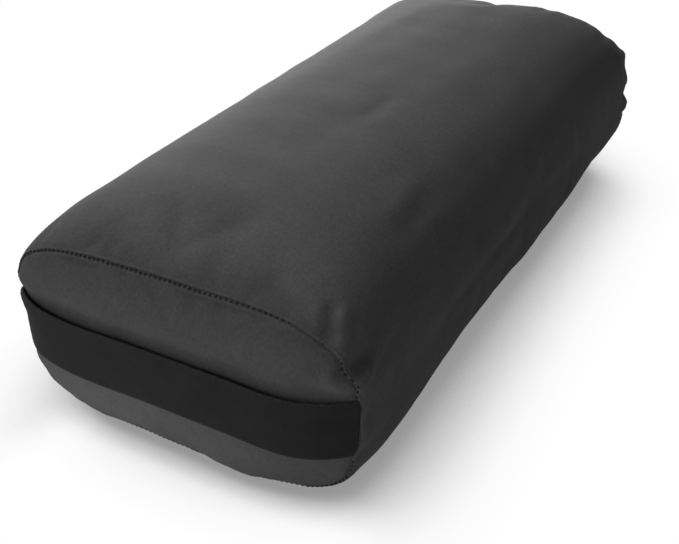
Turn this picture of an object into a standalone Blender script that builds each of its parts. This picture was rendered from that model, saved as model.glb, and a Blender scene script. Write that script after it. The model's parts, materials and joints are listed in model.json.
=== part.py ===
"""A rectangular yoga bolster: a zipped cotton cover with a webbing handle across each end.

Inside the cover lies a muslin liner packed with stacked layers of cotton batting.
Units are metres and +Z is up. The origin is the middle of the underside, on the floor.
The length runs along Y, the front end is at -Y, and the zip runs along the -X side.
"""

import math

import bmesh
import bpy
import numpy as np

# The form of the filled cover
WIDTH = 0.305
SEAM_LENGTH = 0.644
MID_HEIGHT = 0.2055
END_FALL = 0.0305
END_LIFT = 0.0147
END_CROWN = 0.016
REST_DEPTH = 0.0005

# How the form changes from the middle to the ends
TOP_FALL_POWER = 8.0
LIFT_POWER = 12.0
ROUNDING_POWER = 6.0
CROWN_POWER = 4.0
WIDEST_SHARE = 0.52
UPPER_POWER_MID = 2.5
UPPER_POWER_END = 3.7
LOWER_POWER_MID = 3.3
LOWER_POWER_END = 3.45

# Cloths and the gaps between pieces
COVER_CLOTH = 0.0010
LINER_CLOTH = 0.0006
GAP = 0.0003
END_ROOM = 0.0002

# Batting
LAYER_COUNT = 5

# Handles
STRAP_WIDTH = 0.0508
STRAP_THICKNESS = 0.0016
STRAP_HEIGHT = 0.0976
STRAP_STAND_OFF = 0.005
STRAP_SETBACK = 0.0018
STRAP_CROWN_POWER = 6.0

# Zip
ZIP_END_ROOM = 0.0695
TOOTH_PITCH = 0.005
FIRST_TOOTH_SHARE = 0.25
TOOTH_TIP_WIDTH = 0.0023
TOOTH_ROOT_WIDTH = 0.0019
TOOTH_REACH = 0.0013
TOOTH_BASE = 0.0011
TOOTH_THICKNESS = 0.0018
TAPE_WIDTH = 0.011
TAPE_THICKNESS = 0.0005
TAPE_SPACING = 0.0038
TAPE_TAIL = 0.014
OPENING_MARGIN = 0.006
STOP_LENGTH = 0.0024

# Zip slider and pull tab
SLIDER_LENGTH = 0.011
SLIDER_REAR_WIDTH = 0.0084
SLIDER_FRONT_WIDTH = 0.0094
SLIDER_WAIST_SHARE = 0.55
SLIDER_NOSE_SHARE = 0.88
SLIDER_NOSE_WIDTH_SHARE = 0.8
SLIDER_PLATE = 0.0010
SLIDER_FLANGE = 0.0008
FLANGE_SETBACK = 0.0001
SLIDER_CLEARANCE = 0.0003
SLIDER_BACK_ROOM = 0.0009
OPENING_CLEARANCE = 0.0005
POST_WIDTH = 0.0028
POST_LENGTH = 0.0022
POST_TIP_SHARE = 0.4
POST_NOSE_SHARE = 0.5
BRIDGE_WIDTH = 0.0018
BRIDGE_THICKNESS = 0.0009
BRIDGE_SHOULDER_SHARE = 1.2
BRIDGE_INSIDE = 0.0044
TAB_LENGTH = 0.028
TAB_WIDTH = 0.0065
TAB_THICKNESS = 0.0013
TAB_WINDOW_LENGTH = 0.0048
TAB_WINDOW_WIDTH = 0.0026
TAB_BAR_ROOM = 0.0006

# Values that follow from the sizes above
HALF_WIDTH = WIDTH / 2
HALF_LENGTH = SEAM_LENGTH / 2
END_HEIGHT = MID_HEIGHT - END_FALL
ZIP_LENGTH = SEAM_LENGTH - 2 * ZIP_END_ROOM
ZIP_HEIGHT = WIDEST_SHARE * MID_HEIGHT
TAPE_DEPTH = COVER_CLOTH + GAP
CHAIN_BASE = TAPE_DEPTH - GAP
CHAIN_HALF_WIDTH = TAPE_SPACING / 2 + TOOTH_BASE
CHAIN_TOP = TOOTH_THICKNESS - CHAIN_BASE
BACK_PLATE_DEPTH = TAPE_DEPTH + TAPE_THICKNESS + SLIDER_BACK_ROOM
LINER_DEPTH = COVER_CLOTH + GAP
LINER_NARROWING = BACK_PLATE_DEPTH + SLIDER_PLATE + GAP - LINER_DEPTH
LINER_SHORTENING = COVER_CLOTH + GAP + END_ROOM
BATTING_DEPTH = LINER_DEPTH + LINER_CLOTH + GAP
OPENING_WIDTH = SLIDER_FRONT_WIDTH + 2 * OPENING_CLEARANCE
FRONT_PLATE_BASE = CHAIN_TOP + SLIDER_CLEARANCE
FRONT_PLATE_TOP = FRONT_PLATE_BASE + SLIDER_PLATE
TAB_AXIS_RISE = TAB_THICKNESS / 2 + TAB_BAR_ROOM
SLIDER_FRONT = ZIP_LENGTH / 2 + GAP + POST_LENGTH + SLIDER_CLEARANCE

# Points of the coarse cages
CAGE_AROUND = 16
CAGE_SHARES = (-1.0, -0.88, -0.7, -0.4, 0.0, 0.4, 0.7, 0.88, 1.0)
DOME_RINGS = (0.82, 0.48)
STRAP_STATIONS = 13

# An outline drawn in its own XY plane stands on the -X side with its X along world Y, its Y up
ON_THE_SIDE = (math.pi / 2, 0.0, math.pi / 2)


def start_empty():
    """Remove what the file opens with."""
    for old in list(bpy.data.objects):
        bpy.data.objects.remove(old, do_unlink=True)


def new_collection(name):
    collection = bpy.data.collections.new(name)
    bpy.context.scene.collection.children.link(collection)
    return collection


def material(name, colour, roughness, metallic=0.0):
    made = bpy.data.materials.new(name)
    made.use_nodes = True
    shader = made.node_tree.nodes["Principled BSDF"]
    shader.inputs["Base Color"].default_value = (*colour, 1.0)
    shader.inputs["Roughness"].default_value = roughness
    shader.inputs["Metallic"].default_value = metallic
    return made


def add_object(name, data, collection, look=None):
    made = bpy.data.objects.new(name, data)
    collection.objects.link(made)
    if look is not None:
        data.materials.append(look)
    return made


def section(y):
    """The cross section's top, bottom, widest height and the powers of its upper and lower curve."""
    share = min(1.0, abs(y) / HALF_LENGTH)
    top = MID_HEIGHT - (MID_HEIGHT - END_HEIGHT) * share**TOP_FALL_POWER
    bottom = END_LIFT * share**LIFT_POWER - REST_DEPTH
    end_widest = END_LIFT + WIDEST_SHARE * (END_HEIGHT - END_LIFT)
    widest = ZIP_HEIGHT + (end_widest - ZIP_HEIGHT) * share**LIFT_POWER
    rounding = share**ROUNDING_POWER
    upper = UPPER_POWER_MID + (UPPER_POWER_END - UPPER_POWER_MID) * rounding
    lower = LOWER_POWER_MID + (LOWER_POWER_END - LOWER_POWER_MID) * rounding
    return top, bottom, widest, upper, lower


def ring(y, inset=0.0, narrowing=0.0):
    """Points round the cross section at y, from the +X side over the top."""
    top, bottom, widest, upper, lower = section(y)
    points = []
    for index in range(CAGE_AROUND):
        angle = 2 * math.pi * index / CAGE_AROUND
        cosine = math.cos(angle)
        sine = math.sin(angle)
        power = upper if sine >= 0 else lower
        height = top - widest if sine >= 0 else widest - bottom
        x = (HALF_WIDTH - inset - narrowing) * math.copysign(abs(cosine) ** (2 / power), cosine)
        z = widest + (height - inset) * math.copysign(abs(sine) ** (2 / power), sine)
        points.append((x, y, z))
    return np.array(points)


def cage_through(points, closed):
    """Cage points whose subdivided curve passes through the points given, along the first axis."""
    count = len(points)
    system = np.eye(count)
    for row in range(count):
        if not closed and row in (0, count - 1):
            continue
        system[row, row] = 4 / 6
        system[row, (row - 1) % count] += 1 / 6
        system[row, (row + 1) % count] += 1 / 6
    flat = np.linalg.solve(system, points.reshape(count, -1))
    return flat.reshape(points.shape)


def loft(name, rings, closed, first_pole=None, last_pole=None):
    """A mesh of quads between rings of points, with a fan to a pole at either end if one is given."""
    mesh = bmesh.new()
    rows = []
    for points in rings:
        rows.append([mesh.verts.new(point) for point in points])
    around = len(rows[0])
    steps = around if closed else around - 1
    for row, following in zip(rows, rows[1:]):
        for index in range(steps):
            beside = (index + 1) % around
            mesh.faces.new((row[index], following[index], following[beside], row[beside]))
    for pole, edge_row, flip in ((first_pole, rows[0], False), (last_pole, rows[-1], True)):
        if pole is None:
            continue
        tip = mesh.verts.new(pole)
        for index in range(around):
            corners = (tip, edge_row[index], edge_row[(index + 1) % around])
            mesh.faces.new(reversed(corners) if flip else corners)
    data = bpy.data.meshes.new(name)
    mesh.to_mesh(data)
    mesh.free()
    for polygon in data.polygons:
        polygon.use_smooth = True
    return data


def subdivide(made, levels=1, corners="ALL"):
    smooth = made.modifiers.new("Subdivision", "SUBSURF")
    smooth.levels = levels
    smooth.render_levels = levels
    smooth.boundary_smooth = corners


def displace(made, distance):
    shift = made.modifiers.new("Displace", "DISPLACE")
    shift.mid_level = 0.0
    shift.strength = distance


def solidify(made, thickness, offset=-1.0):
    shell = made.modifiers.new("Solidify", "SOLIDIFY")
    shell.thickness = thickness
    shell.offset = offset
    shell.use_even_offset = True


def boolean(made, other, operation):
    cut = made.modifiers.new("Boolean", "BOOLEAN")
    cut.operation = operation
    cut.solver = "EXACT"
    cut.object = other


def box_cutter(name, low, high, cutters):
    """A box between two corners, used only to cut or trim another piece."""
    mesh = bmesh.new()
    bmesh.ops.create_cube(mesh, size=1.0)
    size = [top - bottom for bottom, top in zip(low, high)]
    bmesh.ops.scale(mesh, vec=size, verts=mesh.verts)
    data = bpy.data.meshes.new(name)
    mesh.to_mesh(data)
    mesh.free()
    box = add_object(name, data, cutters)
    box.location = [(bottom + top) / 2 for bottom, top in zip(low, high)]
    box.hide_render = True
    box.display_type = "WIRE"
    return box


def wrap_rings(half_length, narrowing):
    """The cage of the panel that goes round the cushion, open at both ends."""
    rings = np.array([ring(share * half_length, narrowing=narrowing) for share in CAGE_SHARES])
    rings = cage_through(rings, closed=False)
    around_first = np.swapaxes(rings, 0, 1)
    return np.swapaxes(cage_through(around_first, closed=True), 0, 1)


def dome_points(outline, end, rim_y, share):
    """A ring of an end panel, drawn in from its outline and crowned outwards."""
    middle = outline.mean(axis=0)
    points = middle + (outline - middle) * share
    points[:, 1] = end * (rim_y + END_CROWN * (1 - share**CROWN_POWER))
    return points


def wrap(name, collection, look, depth=0.0, half_length=HALF_LENGTH, narrowing=0.0):
    """The open tube of cloth, sunk by a depth below the cover's outer face."""
    data = loft(name, wrap_rings(half_length, narrowing), closed=True)
    made = add_object(name, data, collection, look)
    subdivide(made)
    if depth:
        displace(made, -depth)
    return made


def end_panel(name, end, rim_y, inset, narrowing, cloth, collection, look):
    """A crowned end panel that fits in the mouth of its wrap."""
    outline = cage_through(ring(end * rim_y, inset, narrowing), closed=True)
    rings = [dome_points(outline, end, rim_y, share) for share in (1.0, *DOME_RINGS)]
    pole = dome_points(outline, end, rim_y, 0.0)[0]
    if end > 0:
        data = loft(name, rings, closed=True, last_pole=pole)
    else:
        data = loft(name, rings[::-1], closed=True, first_pole=pole)
    made = add_object(name, data, collection, look)
    subdivide(made)
    solidify(made, cloth)
    return made


def cover(parts, cutters, cotton):
    """The wrap with its zip opening and flat rest, and the two end panels."""
    wrapped = wrap("cover_wrap", parts, cotton)
    solidify(wrapped, COVER_CLOTH)
    half_opening = ZIP_LENGTH / 2 + OPENING_MARGIN
    opening = box_cutter(
        "zip_opening_cutter",
        (-HALF_WIDTH * 1.1, -half_opening, ZIP_HEIGHT - OPENING_WIDTH / 2),
        (-HALF_WIDTH * 0.9, half_opening, ZIP_HEIGHT + OPENING_WIDTH / 2),
        cutters,
    )
    boolean(wrapped, opening, "DIFFERENCE")
    floor = box_cutter(
        "floor_cutter",
        (-WIDTH, -SEAM_LENGTH, -MID_HEIGHT),
        (WIDTH, SEAM_LENGTH, 0.0),
        cutters,
    )
    boolean(wrapped, floor, "DIFFERENCE")
    inset = COVER_CLOTH + GAP
    for name, end in (("cover_end_front", -1), ("cover_end_rear", 1)):
        end_panel(name, end, HALF_LENGTH, inset, 0.0, COVER_CLOTH, parts, cotton)


def liner(parts, muslin):
    """The muslin bag inside the cover, a little narrower to leave room for the zip slider."""
    half_length = HALF_LENGTH - LINER_SHORTENING
    wrapped = wrap("liner_wrap", parts, muslin, LINER_DEPTH, half_length, LINER_NARROWING)
    solidify(wrapped, LINER_CLOTH)
    for name, end in (("liner_end_front", -1), ("liner_end_rear", 1)):
        end_panel(name, end, half_length, BATTING_DEPTH, LINER_NARROWING, LINER_CLOTH, parts, muslin)


def batting_form(name, parts, look):
    """The whole filling as one closed form, from which each layer is trimmed."""
    half_length = HALF_LENGTH - LINER_SHORTENING
    rings = list(wrap_rings(half_length, LINER_NARROWING))
    rim_y = half_length
    caps = []
    for end in (-1, 1):
        outline = rings[0] if end < 0 else rings[-1]
        caps.append([dome_points(outline, end, rim_y, share) for share in (*DOME_RINGS, 0.0)])
    front, rear = caps
    all_rings = [*front[:-1][::-1], *rings, *rear[:-1]]
    data = loft(name, all_rings, closed=True, first_pole=front[-1][0], last_pole=rear[-1][0])
    made = add_object(name, data, parts, look)
    subdivide(made)
    displace(made, -BATTING_DEPTH)
    return made


def batting(parts, cutters, cotton_fill):
    """Layers of needled cotton, stacked from the underside up."""
    thickness = MID_HEIGHT / LAYER_COUNT
    for index in range(LAYER_COUNT):
        layer = batting_form(f"batting_layer_{index + 1}", parts, cotton_fill)
        low = index * thickness + GAP / 2
        high = (index + 1) * thickness - GAP / 2
        if index == 0:
            low = -thickness
        if index == LAYER_COUNT - 1:
            high = MID_HEIGHT + thickness
        slab = box_cutter(
            f"layer_{index + 1}_cutter",
            (-WIDTH, -SEAM_LENGTH, low),
            (WIDTH, SEAM_LENGTH, high),
            cutters,
        )
        boolean(layer, slab, "INTERSECT")


def handle(name, end, parts, webbing):
    """A flat strap across an end panel, sewn in at both side seams and standing a little off."""
    half_span = HALF_WIDTH - STRAP_SETBACK
    stations = []
    for index in range(STRAP_STATIONS):
        share = math.sin(math.pi / 2 * (2 * index / (STRAP_STATIONS - 1) - 1))
        reach = (END_CROWN + STRAP_STAND_OFF) * (1 - abs(share) ** STRAP_CROWN_POWER)
        y = end * (HALF_LENGTH + GAP + reach)
        low = (share * half_span, y, STRAP_HEIGHT - STRAP_WIDTH / 2)
        high = (share * half_span, y, STRAP_HEIGHT + STRAP_WIDTH / 2)
        stations.append((low, high))
    cage = cage_through(np.array(stations), closed=False)
    data = loft(name, cage, closed=False)
    made = add_object(name, data, parts, webbing)
    subdivide(made, corners="PRESERVE_CORNERS")
    solidify(made, STRAP_THICKNESS, offset=-end)


def side_outline(name, splines, outer, inner, collection, look=None):
    """A flat outline on the zip's side, from outer to inner, both measured outwards from the cover."""
    curve = bpy.data.curves.new(name, "CURVE")
    curve.dimensions = "2D"
    curve.fill_mode = "BOTH"
    curve.extrude = (outer - inner) / 2
    for points in splines:
        spline = curve.splines.new("POLY")
        spline.points.add(len(points) - 1)
        for slot, (along, up) in zip(spline.points, points):
            slot.co = (along, up, 0.0, 1.0)
        spline.use_cyclic_u = True
    made = add_object(name, curve, collection, look)
    made.location = (-HALF_WIDTH - (outer + inner) / 2, 0.0, ZIP_HEIGHT)
    made.rotation_euler = ON_THE_SIDE
    return made


def rectangle(low_along, high_along, low_up, high_up):
    return [(low_along, low_up), (high_along, low_up), (high_along, high_up), (low_along, high_up)]


def rounded_bar(low_along, high_along, half_width, corner_steps=6):
    """A bar with a half-round end at its low end."""
    points = [(high_along, -half_width), (high_along, half_width)]
    centre = low_along + half_width
    for step in range(corner_steps + 1):
        angle = math.pi / 2 + math.pi * step / corner_steps
        points.append((centre + half_width * math.cos(angle), half_width * math.sin(angle)))
    return points


def as_mesh(made):
    """Turn a filled curve object into a mesh object with welded caps, in the same place."""
    bpy.context.view_layer.update()
    evaluated = made.evaluated_get(bpy.context.evaluated_depsgraph_get())
    data = bpy.data.meshes.new_from_object(evaluated)
    mesh = bmesh.new()
    mesh.from_mesh(data)
    bmesh.ops.remove_doubles(mesh, verts=mesh.verts, dist=0.00001)
    mesh.to_mesh(data)
    mesh.free()
    name = made.name
    collection = made.users_collection[0]
    placed = made.matrix_world.copy()
    curve = made.data
    bpy.data.objects.remove(made, do_unlink=True)
    bpy.data.curves.remove(curve)
    solid = bpy.data.objects.new(name, data)
    collection.objects.link(solid)
    solid.matrix_world = placed
    return solid


def tapes(parts, cutters, tape_cloth):
    """Two strips that follow the inside of the cover, one each side of the chain."""
    half_tape = ZIP_LENGTH / 2 + TAPE_TAIL
    for name, side in (("zip_tape_upper", 1), ("zip_tape_lower", -1)):
        tape = wrap(name, parts, tape_cloth, TAPE_DEPTH)
        solidify(tape, TAPE_THICKNESS)
        edges = sorted((side * TAPE_SPACING / 2, side * (TAPE_SPACING / 2 + TAPE_WIDTH)))
        strip = box_cutter(
            f"{name}_cutter",
            (-WIDTH, -half_tape, ZIP_HEIGHT + edges[0]),
            (0.0, half_tape, ZIP_HEIGHT + edges[1]),
            cutters,
        )
        boolean(tape, strip, "INTERSECT")


def tooth_row(name, side, shift, parts, nylon):
    """A bead along the tape's edge with teeth that reach between those of the other row."""
    start = -ZIP_LENGTH / 2
    root = side * TAPE_SPACING / 2
    tip = -side * TOOTH_REACH
    back = side * CHAIN_HALF_WIDTH
    count = int((ZIP_LENGTH - shift) / TOOTH_PITCH)
    outline = [(start, back), (start, root)]
    for index in range(count):
        centre = start + shift + TOOTH_PITCH * (index + FIRST_TOOTH_SHARE)
        outline.append((centre - TOOTH_ROOT_WIDTH / 2, root))
        outline.append((centre - TOOTH_TIP_WIDTH / 2, tip))
        outline.append((centre + TOOTH_TIP_WIDTH / 2, tip))
        outline.append((centre + TOOTH_ROOT_WIDTH / 2, root))
    outline.append((-start, root))
    outline.append((-start, back))
    side_outline(name, [outline], CHAIN_TOP, -CHAIN_BASE, parts, nylon)


def stops(parts, metal):
    """A crimped stop on each tape at the closed end, and one staple across both at the other."""
    low = ZIP_LENGTH / 2 + GAP
    inner = TAPE_SPACING / 2
    for name, side in (("zip_top_stop_upper", 1), ("zip_top_stop_lower", -1)):
        across = sorted((side * inner, side * CHAIN_HALF_WIDTH))
        stop = rectangle(low, low + STOP_LENGTH, *across)
        side_outline(name, [stop], CHAIN_TOP, -CHAIN_BASE, parts, metal)
    staple = rectangle(-low - STOP_LENGTH, -low, -CHAIN_HALF_WIDTH, CHAIN_HALF_WIDTH)
    side_outline("zip_bottom_stop", [staple], CHAIN_TOP, -CHAIN_BASE, parts, metal)


def slider_stations():
    """Where the slider's rear, waist and nose lie along Y."""
    rear = SLIDER_FRONT - SLIDER_LENGTH
    waist = rear + SLIDER_LENGTH * SLIDER_WAIST_SHARE
    nose = rear + SLIDER_LENGTH * SLIDER_NOSE_SHARE
    return rear, waist, nose


def slider_outline():
    """The slider's plate, wide at its front where the rows part."""
    rear, waist, nose = slider_stations()
    half_rear = SLIDER_REAR_WIDTH / 2
    half_front = SLIDER_FRONT_WIDTH / 2
    half_tip = half_front * SLIDER_NOSE_WIDTH_SHARE
    upper = [(rear, half_rear), (waist, half_rear), (nose, half_front), (SLIDER_FRONT, half_tip)]
    lower = [(along, -up) for along, up in reversed(upper)]
    return upper + lower


def flange_outline(side):
    """The low wall along one edge of the front plate, which keeps the rows in the slider."""
    rear, waist, nose = slider_stations()
    half_rear = SLIDER_REAR_WIDTH / 2 - FLANGE_SETBACK
    half_front = SLIDER_FRONT_WIDTH / 2 - FLANGE_SETBACK
    outer = [(rear + FLANGE_SETBACK, half_rear), (waist, half_rear), (nose, half_front)]
    inner = [(along, up - SLIDER_FLANGE) for along, up in reversed(outer)]
    return [(along, side * up) for along, up in outer + inner]


def bridge_object(cutters):
    """The arch over the front plate that the pull tab hangs on, drawn from the side."""
    half_inside = BRIDGE_INSIDE / 2
    half_outside = half_inside + BRIDGE_THICKNESS
    inside_rise = 2 * TAB_AXIS_RISE
    outside_rise = inside_rise + BRIDGE_THICKNESS
    shoulder = BRIDGE_SHOULDER_SHARE * BRIDGE_THICKNESS
    buried = -SLIDER_PLATE / 2
    outer = [
        (half_outside, buried),
        (half_outside, outside_rise - shoulder),
        (half_outside - shoulder, outside_rise),
        (-half_outside + shoulder, outside_rise),
        (-half_outside, outside_rise - shoulder),
        (-half_outside, buried),
    ]
    inner = [
        (-half_inside, buried),
        (-half_inside, inside_rise),
        (half_inside, inside_rise),
        (half_inside, buried),
    ]
    curve = bpy.data.curves.new("bridge", "CURVE")
    curve.dimensions = "2D"
    curve.fill_mode = "BOTH"
    curve.extrude = BRIDGE_WIDTH / 2
    spline = curve.splines.new("POLY")
    spline.points.add(len(outer) + len(inner) - 1)
    for slot, (along, rise) in zip(spline.points, outer + inner):
        slot.co = (along, rise, 0.0, 1.0)
    spline.use_cyclic_u = True
    made = add_object("bridge", curve, cutters)
    made.location = (-HALF_WIDTH - FRONT_PLATE_TOP, tab_axis_along(), ZIP_HEIGHT)
    made.rotation_euler = (0.0, 0.0, math.pi / 2)
    return made


def tab_axis_along():
    """Where the pull tab's hinge crosses the slider, along Y."""
    return SLIDER_FRONT - SLIDER_LENGTH / 2


def post_outline():
    """The post between the plates, pointed towards the rows that it parts."""
    rear = SLIDER_FRONT - SLIDER_CLEARANCE - POST_LENGTH
    widest = SLIDER_FRONT - SLIDER_PLATE
    front = SLIDER_FRONT - SLIDER_CLEARANCE
    half_post = POST_WIDTH / 2
    half_tip = half_post * POST_TIP_SHARE
    half_nose = half_post * POST_NOSE_SHARE
    lower = [(rear, -half_tip), (widest, -half_post), (front, -half_nose)]
    upper = [(along, -up) for along, up in reversed(lower)]
    return lower + upper


def slider(parts, cutters, metal):
    """Two plates joined by a post between the rows, with flanges and a bridge on the front plate."""
    body = side_outline("zip_slider", [slider_outline()], FRONT_PLATE_TOP, FRONT_PLATE_BASE, parts)
    back_face = -BACK_PLATE_DEPTH - SLIDER_PLATE
    in_front_plate = FRONT_PLATE_BASE + SLIDER_PLATE / 2
    in_back_plate = -BACK_PLATE_DEPTH - SLIDER_PLATE / 2
    joined = [
        side_outline("slider_back_plate", [slider_outline()], -BACK_PLATE_DEPTH, back_face, cutters),
        side_outline("slider_post", [post_outline()], in_front_plate, in_back_plate, cutters),
    ]
    for name, side in (("slider_flange_upper", 1), ("slider_flange_lower", -1)):
        joined.append(side_outline(name, [flange_outline(side)], in_front_plate, -CHAIN_BASE, cutters))
    joined.append(bridge_object(cutters))
    body = as_mesh(body)
    body.data.materials.clear()
    body.data.materials.append(metal)
    for piece in joined:
        solid = as_mesh(piece)
        solid.hide_render = True
        solid.display_type = "WIRE"
        boolean(body, solid, "UNION")
    return body


def pull_tab(parts, metal, carrier):
    """A plate with a window for the bridge; its end bar turns under the bridge."""
    half_bar = TAB_THICKNESS / 2
    half_tab = TAB_WIDTH / 2
    outline = rounded_bar(half_bar - TAB_LENGTH, half_bar, half_tab)
    window_far = -half_bar - TAB_WINDOW_LENGTH
    window = rectangle(window_far, -half_bar, -TAB_WINDOW_WIDTH / 2, TAB_WINDOW_WIDTH / 2)
    axis_out = FRONT_PLATE_TOP + TAB_AXIS_RISE
    outer = axis_out + half_bar
    inner = axis_out - half_bar
    tab = side_outline("zip_pull_tab", [outline, window], outer, inner, parts, metal)
    tab.location = (-HALF_WIDTH - axis_out, tab_axis_along(), ZIP_HEIGHT)
    bpy.context.view_layer.update()
    placed = tab.matrix_world.copy()
    tab.parent = carrier
    tab.matrix_parent_inverse = carrier.matrix_world.inverted()
    tab.matrix_world = placed


def main():
    start_empty()
    parts = new_collection("yoga_bolster")
    cutters = new_collection("cutters")
    cotton = material("charcoal_cotton", (0.055, 0.055, 0.057), 0.75)
    webbing = material("black_webbing", (0.016, 0.016, 0.017), 0.85)
    muslin = material("muslin", (0.72, 0.69, 0.61), 0.9)
    cotton_fill = material("cotton_batting", (0.82, 0.80, 0.74), 0.95)
    tape_cloth = material("zip_tape", (0.02, 0.02, 0.021), 0.8)
    nylon = material("zip_nylon", (0.03, 0.03, 0.031), 0.45)
    metal = material("zip_metal", (0.05, 0.05, 0.052), 0.4, 0.9)
    cover(parts, cutters, cotton)
    handle("handle_front", -1, parts, webbing)
    handle("handle_rear", 1, parts, webbing)
    liner(parts, muslin)
    batting(parts, cutters, cotton_fill)
    tapes(parts, cutters, tape_cloth)
    tooth_row("zip_teeth_upper", 1, 0.0, parts, nylon)
    tooth_row("zip_teeth_lower", -1, TOOTH_PITCH / 2, parts, nylon)
    stops(parts, metal)
    carrier = slider(parts, cutters, metal)
    pull_tab(parts, metal, carrier)


main()
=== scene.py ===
"""The looks of the yoga bolster: folded cloth, webbing, thread, coil zip and filling round its solids.

Units are metres and +Z is up. The length runs along Y, with the front end at -Y and the zip at -X.
"""

import json
import math

import bpy
import numpy as np
from mathutils import Matrix, Vector
from mathutils.kdtree import KDTree

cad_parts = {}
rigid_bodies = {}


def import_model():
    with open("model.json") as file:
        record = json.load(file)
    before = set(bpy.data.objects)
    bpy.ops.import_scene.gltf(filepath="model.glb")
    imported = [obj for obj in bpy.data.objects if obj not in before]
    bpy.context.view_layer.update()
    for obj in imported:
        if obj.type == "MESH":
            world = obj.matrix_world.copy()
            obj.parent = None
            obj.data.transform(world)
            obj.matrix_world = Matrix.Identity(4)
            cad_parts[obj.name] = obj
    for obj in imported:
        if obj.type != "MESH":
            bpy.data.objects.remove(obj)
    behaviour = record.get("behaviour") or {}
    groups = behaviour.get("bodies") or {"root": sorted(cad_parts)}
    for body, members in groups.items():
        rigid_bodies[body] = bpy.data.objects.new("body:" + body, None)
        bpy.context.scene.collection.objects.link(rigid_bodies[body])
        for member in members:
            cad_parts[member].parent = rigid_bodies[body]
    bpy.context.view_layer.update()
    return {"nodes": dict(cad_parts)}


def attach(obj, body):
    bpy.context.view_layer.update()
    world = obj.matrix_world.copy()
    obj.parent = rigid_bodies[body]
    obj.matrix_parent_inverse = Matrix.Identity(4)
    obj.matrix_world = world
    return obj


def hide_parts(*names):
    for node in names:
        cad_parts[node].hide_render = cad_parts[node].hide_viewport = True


# The form of the filled cover, as in the part's source
HALF_WIDTH = 0.1525
HALF_LENGTH = 0.322
MID_HEIGHT = 0.2055
END_HEIGHT = 0.175
END_LIFT = 0.0147
END_CROWN = 0.016
REST_DEPTH = 0.0005
TOP_FALL_POWER = 8.0
LIFT_POWER = 12.0
ROUNDING_POWER = 6.0
CROWN_POWER = 4.0
WIDEST_SHARE = 0.52
UPPER_POWERS = (2.5, 3.7)
LOWER_POWERS = (3.3, 3.45)
ZIP_HEIGHT = WIDEST_SHARE * MID_HEIGHT
CENTRE = (0.0, 0.0, MID_HEIGHT / 2)

# Angles of a quarter turn, close together at both ends, where a superellipse moves fastest
QUARTER_TURN = math.pi / 2 * np.sin(math.pi / 2 * np.linspace(0.0, 1.0, 240)) ** 2

# About how far it is round the upper and the lower half of the section
ROUND_LENGTHS = (0.42, 0.47)

# Cloth, seams and the zip opening
CLOTH = 0.0005
COVER_STEPS = (0.0013, 0.0036)
SEAM_ROLL = 0.0007
PANEL_ROLL = 0.0012
CLOSING_SEAM = 0.0009
SEAM_ALLOWANCE = 0.006
ALLOWANCE_SHARES = (0.4, 1.0)
PANEL_INSET = 0.0016
HEM_ROLL = 0.0005
HEM_DEPTH = 0.006
OPENING_HALF_HEIGHT = 0.0052
OPENING_HALF_LENGTH = 0.2585
HOLE_HALF_LENGTH = OPENING_HALF_LENGTH + HEM_ROLL
SEAM_PUFF = 0.0010
PUCKER = 0.0006
TOPSTITCH_INSET = 0.0035

# Thread, each kind of stitch as (pitch, length, radius); seam stitches lie at every other column
SEAM_STITCH = (0.005, 0.0033, 0.00075)
CLOSING_STITCH = (0.005, 0.0033, 0.0004)
TOPSTITCH = (0.0030, 0.0025, 0.0003)
TAPE_STITCH = (0.0026, 0.0021, 0.00018)
SEAM_STITCH_RISE = 0.0008

# The simulated bag whose folds the cover takes
BAG_STEP = 0.0062
BAG_FINE_STEP = 0.0035
SETTLE_FRAMES = 20
SPARE_CLOTH = 0.05
SEAM_SHRINK = 0.02
FOLD_LIMIT = 0.0034
SEAM_EASE_REACH = 0.09
RIM_EASE_REACH = 0.006
SMOOTHING_ROUNDS = 120
NEAR_CELL = 0.0048
NEAR_REACH = 0.015
BAG_CLOTH = {
    "quality": 5, "mass": 0.3, "tension_stiffness": 10.0, "compression_stiffness": 10.0,
    "shear_stiffness": 3.3, "bending_stiffness": 0.35, "use_pressure": True,
    "uniform_pressure_force": 1.5, "shrink_min": -SPARE_CLOTH, "shrink_max": SEAM_SHRINK,
    "vertex_group_shrink": "ease", "vertex_group_mass": "filling", "pin_stiffness": 1.0,
}

# Depths of the inner pieces below the cover's outer face, as in the part's source
LINER_CLOTH = 0.0004
LINER_STEP = 0.0055
LINER_DEPTH = 0.0013
LINER_PANEL_DEPTH = 0.0024
LINER_NARROWING = 0.0027
LINER_HALF_LENGTH = HALF_LENGTH - 0.0015
LINER_EDGE = 0.004
LINER_SLACK = 0.0004
LINER_LOWEST = CLOTH + 0.0003
INNER_CLEARANCE = 0.0006
BATTING_CELL = 0.005
BATTING_TUFT = 0.0008

# Handles
STRAP_WIDTH = 0.0508
STRAP_THICKNESS = 0.0016
STRAP_HEIGHT = 0.0976
STRAP_STAND_OFF = 0.005
STRAP_SETBACK = 0.0018
STRAP_CROWN_POWER = 6.0
STRAP_GAP = 0.0003
STRAP_SAG = 0.0032
STRAP_SAG_PLACE = 0.108
STRAP_SAG_REACH = 0.038
STRAP_WAVE = 0.0006
SELVEDGE_ROUND = 0.8

# Zip
ZIP_HALF_LENGTH = 0.2525
TAPE_TAIL = 0.014
TAPE_DEPTH = 0.0013
TAPE_THICKNESS = 0.0005
TAPE_INNER_EDGE = 0.0019
TAPE_WIDTH = 0.011
TAPE_STITCH_LINES = (0.0034, 0.0043)
COIL_PITCH = 0.0013
COIL_WIRE = 0.00032
COIL_OUTER = 0.0030
COIL_REACH = 0.0005
COIL_TOP = 0.0008
COIL_BASE = 0.0010
COIL_END = 0.001
COIL_STEPS = 12
COIL_SQUARENESS = 0.75
METAL_EDGE = 0.0002

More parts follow.
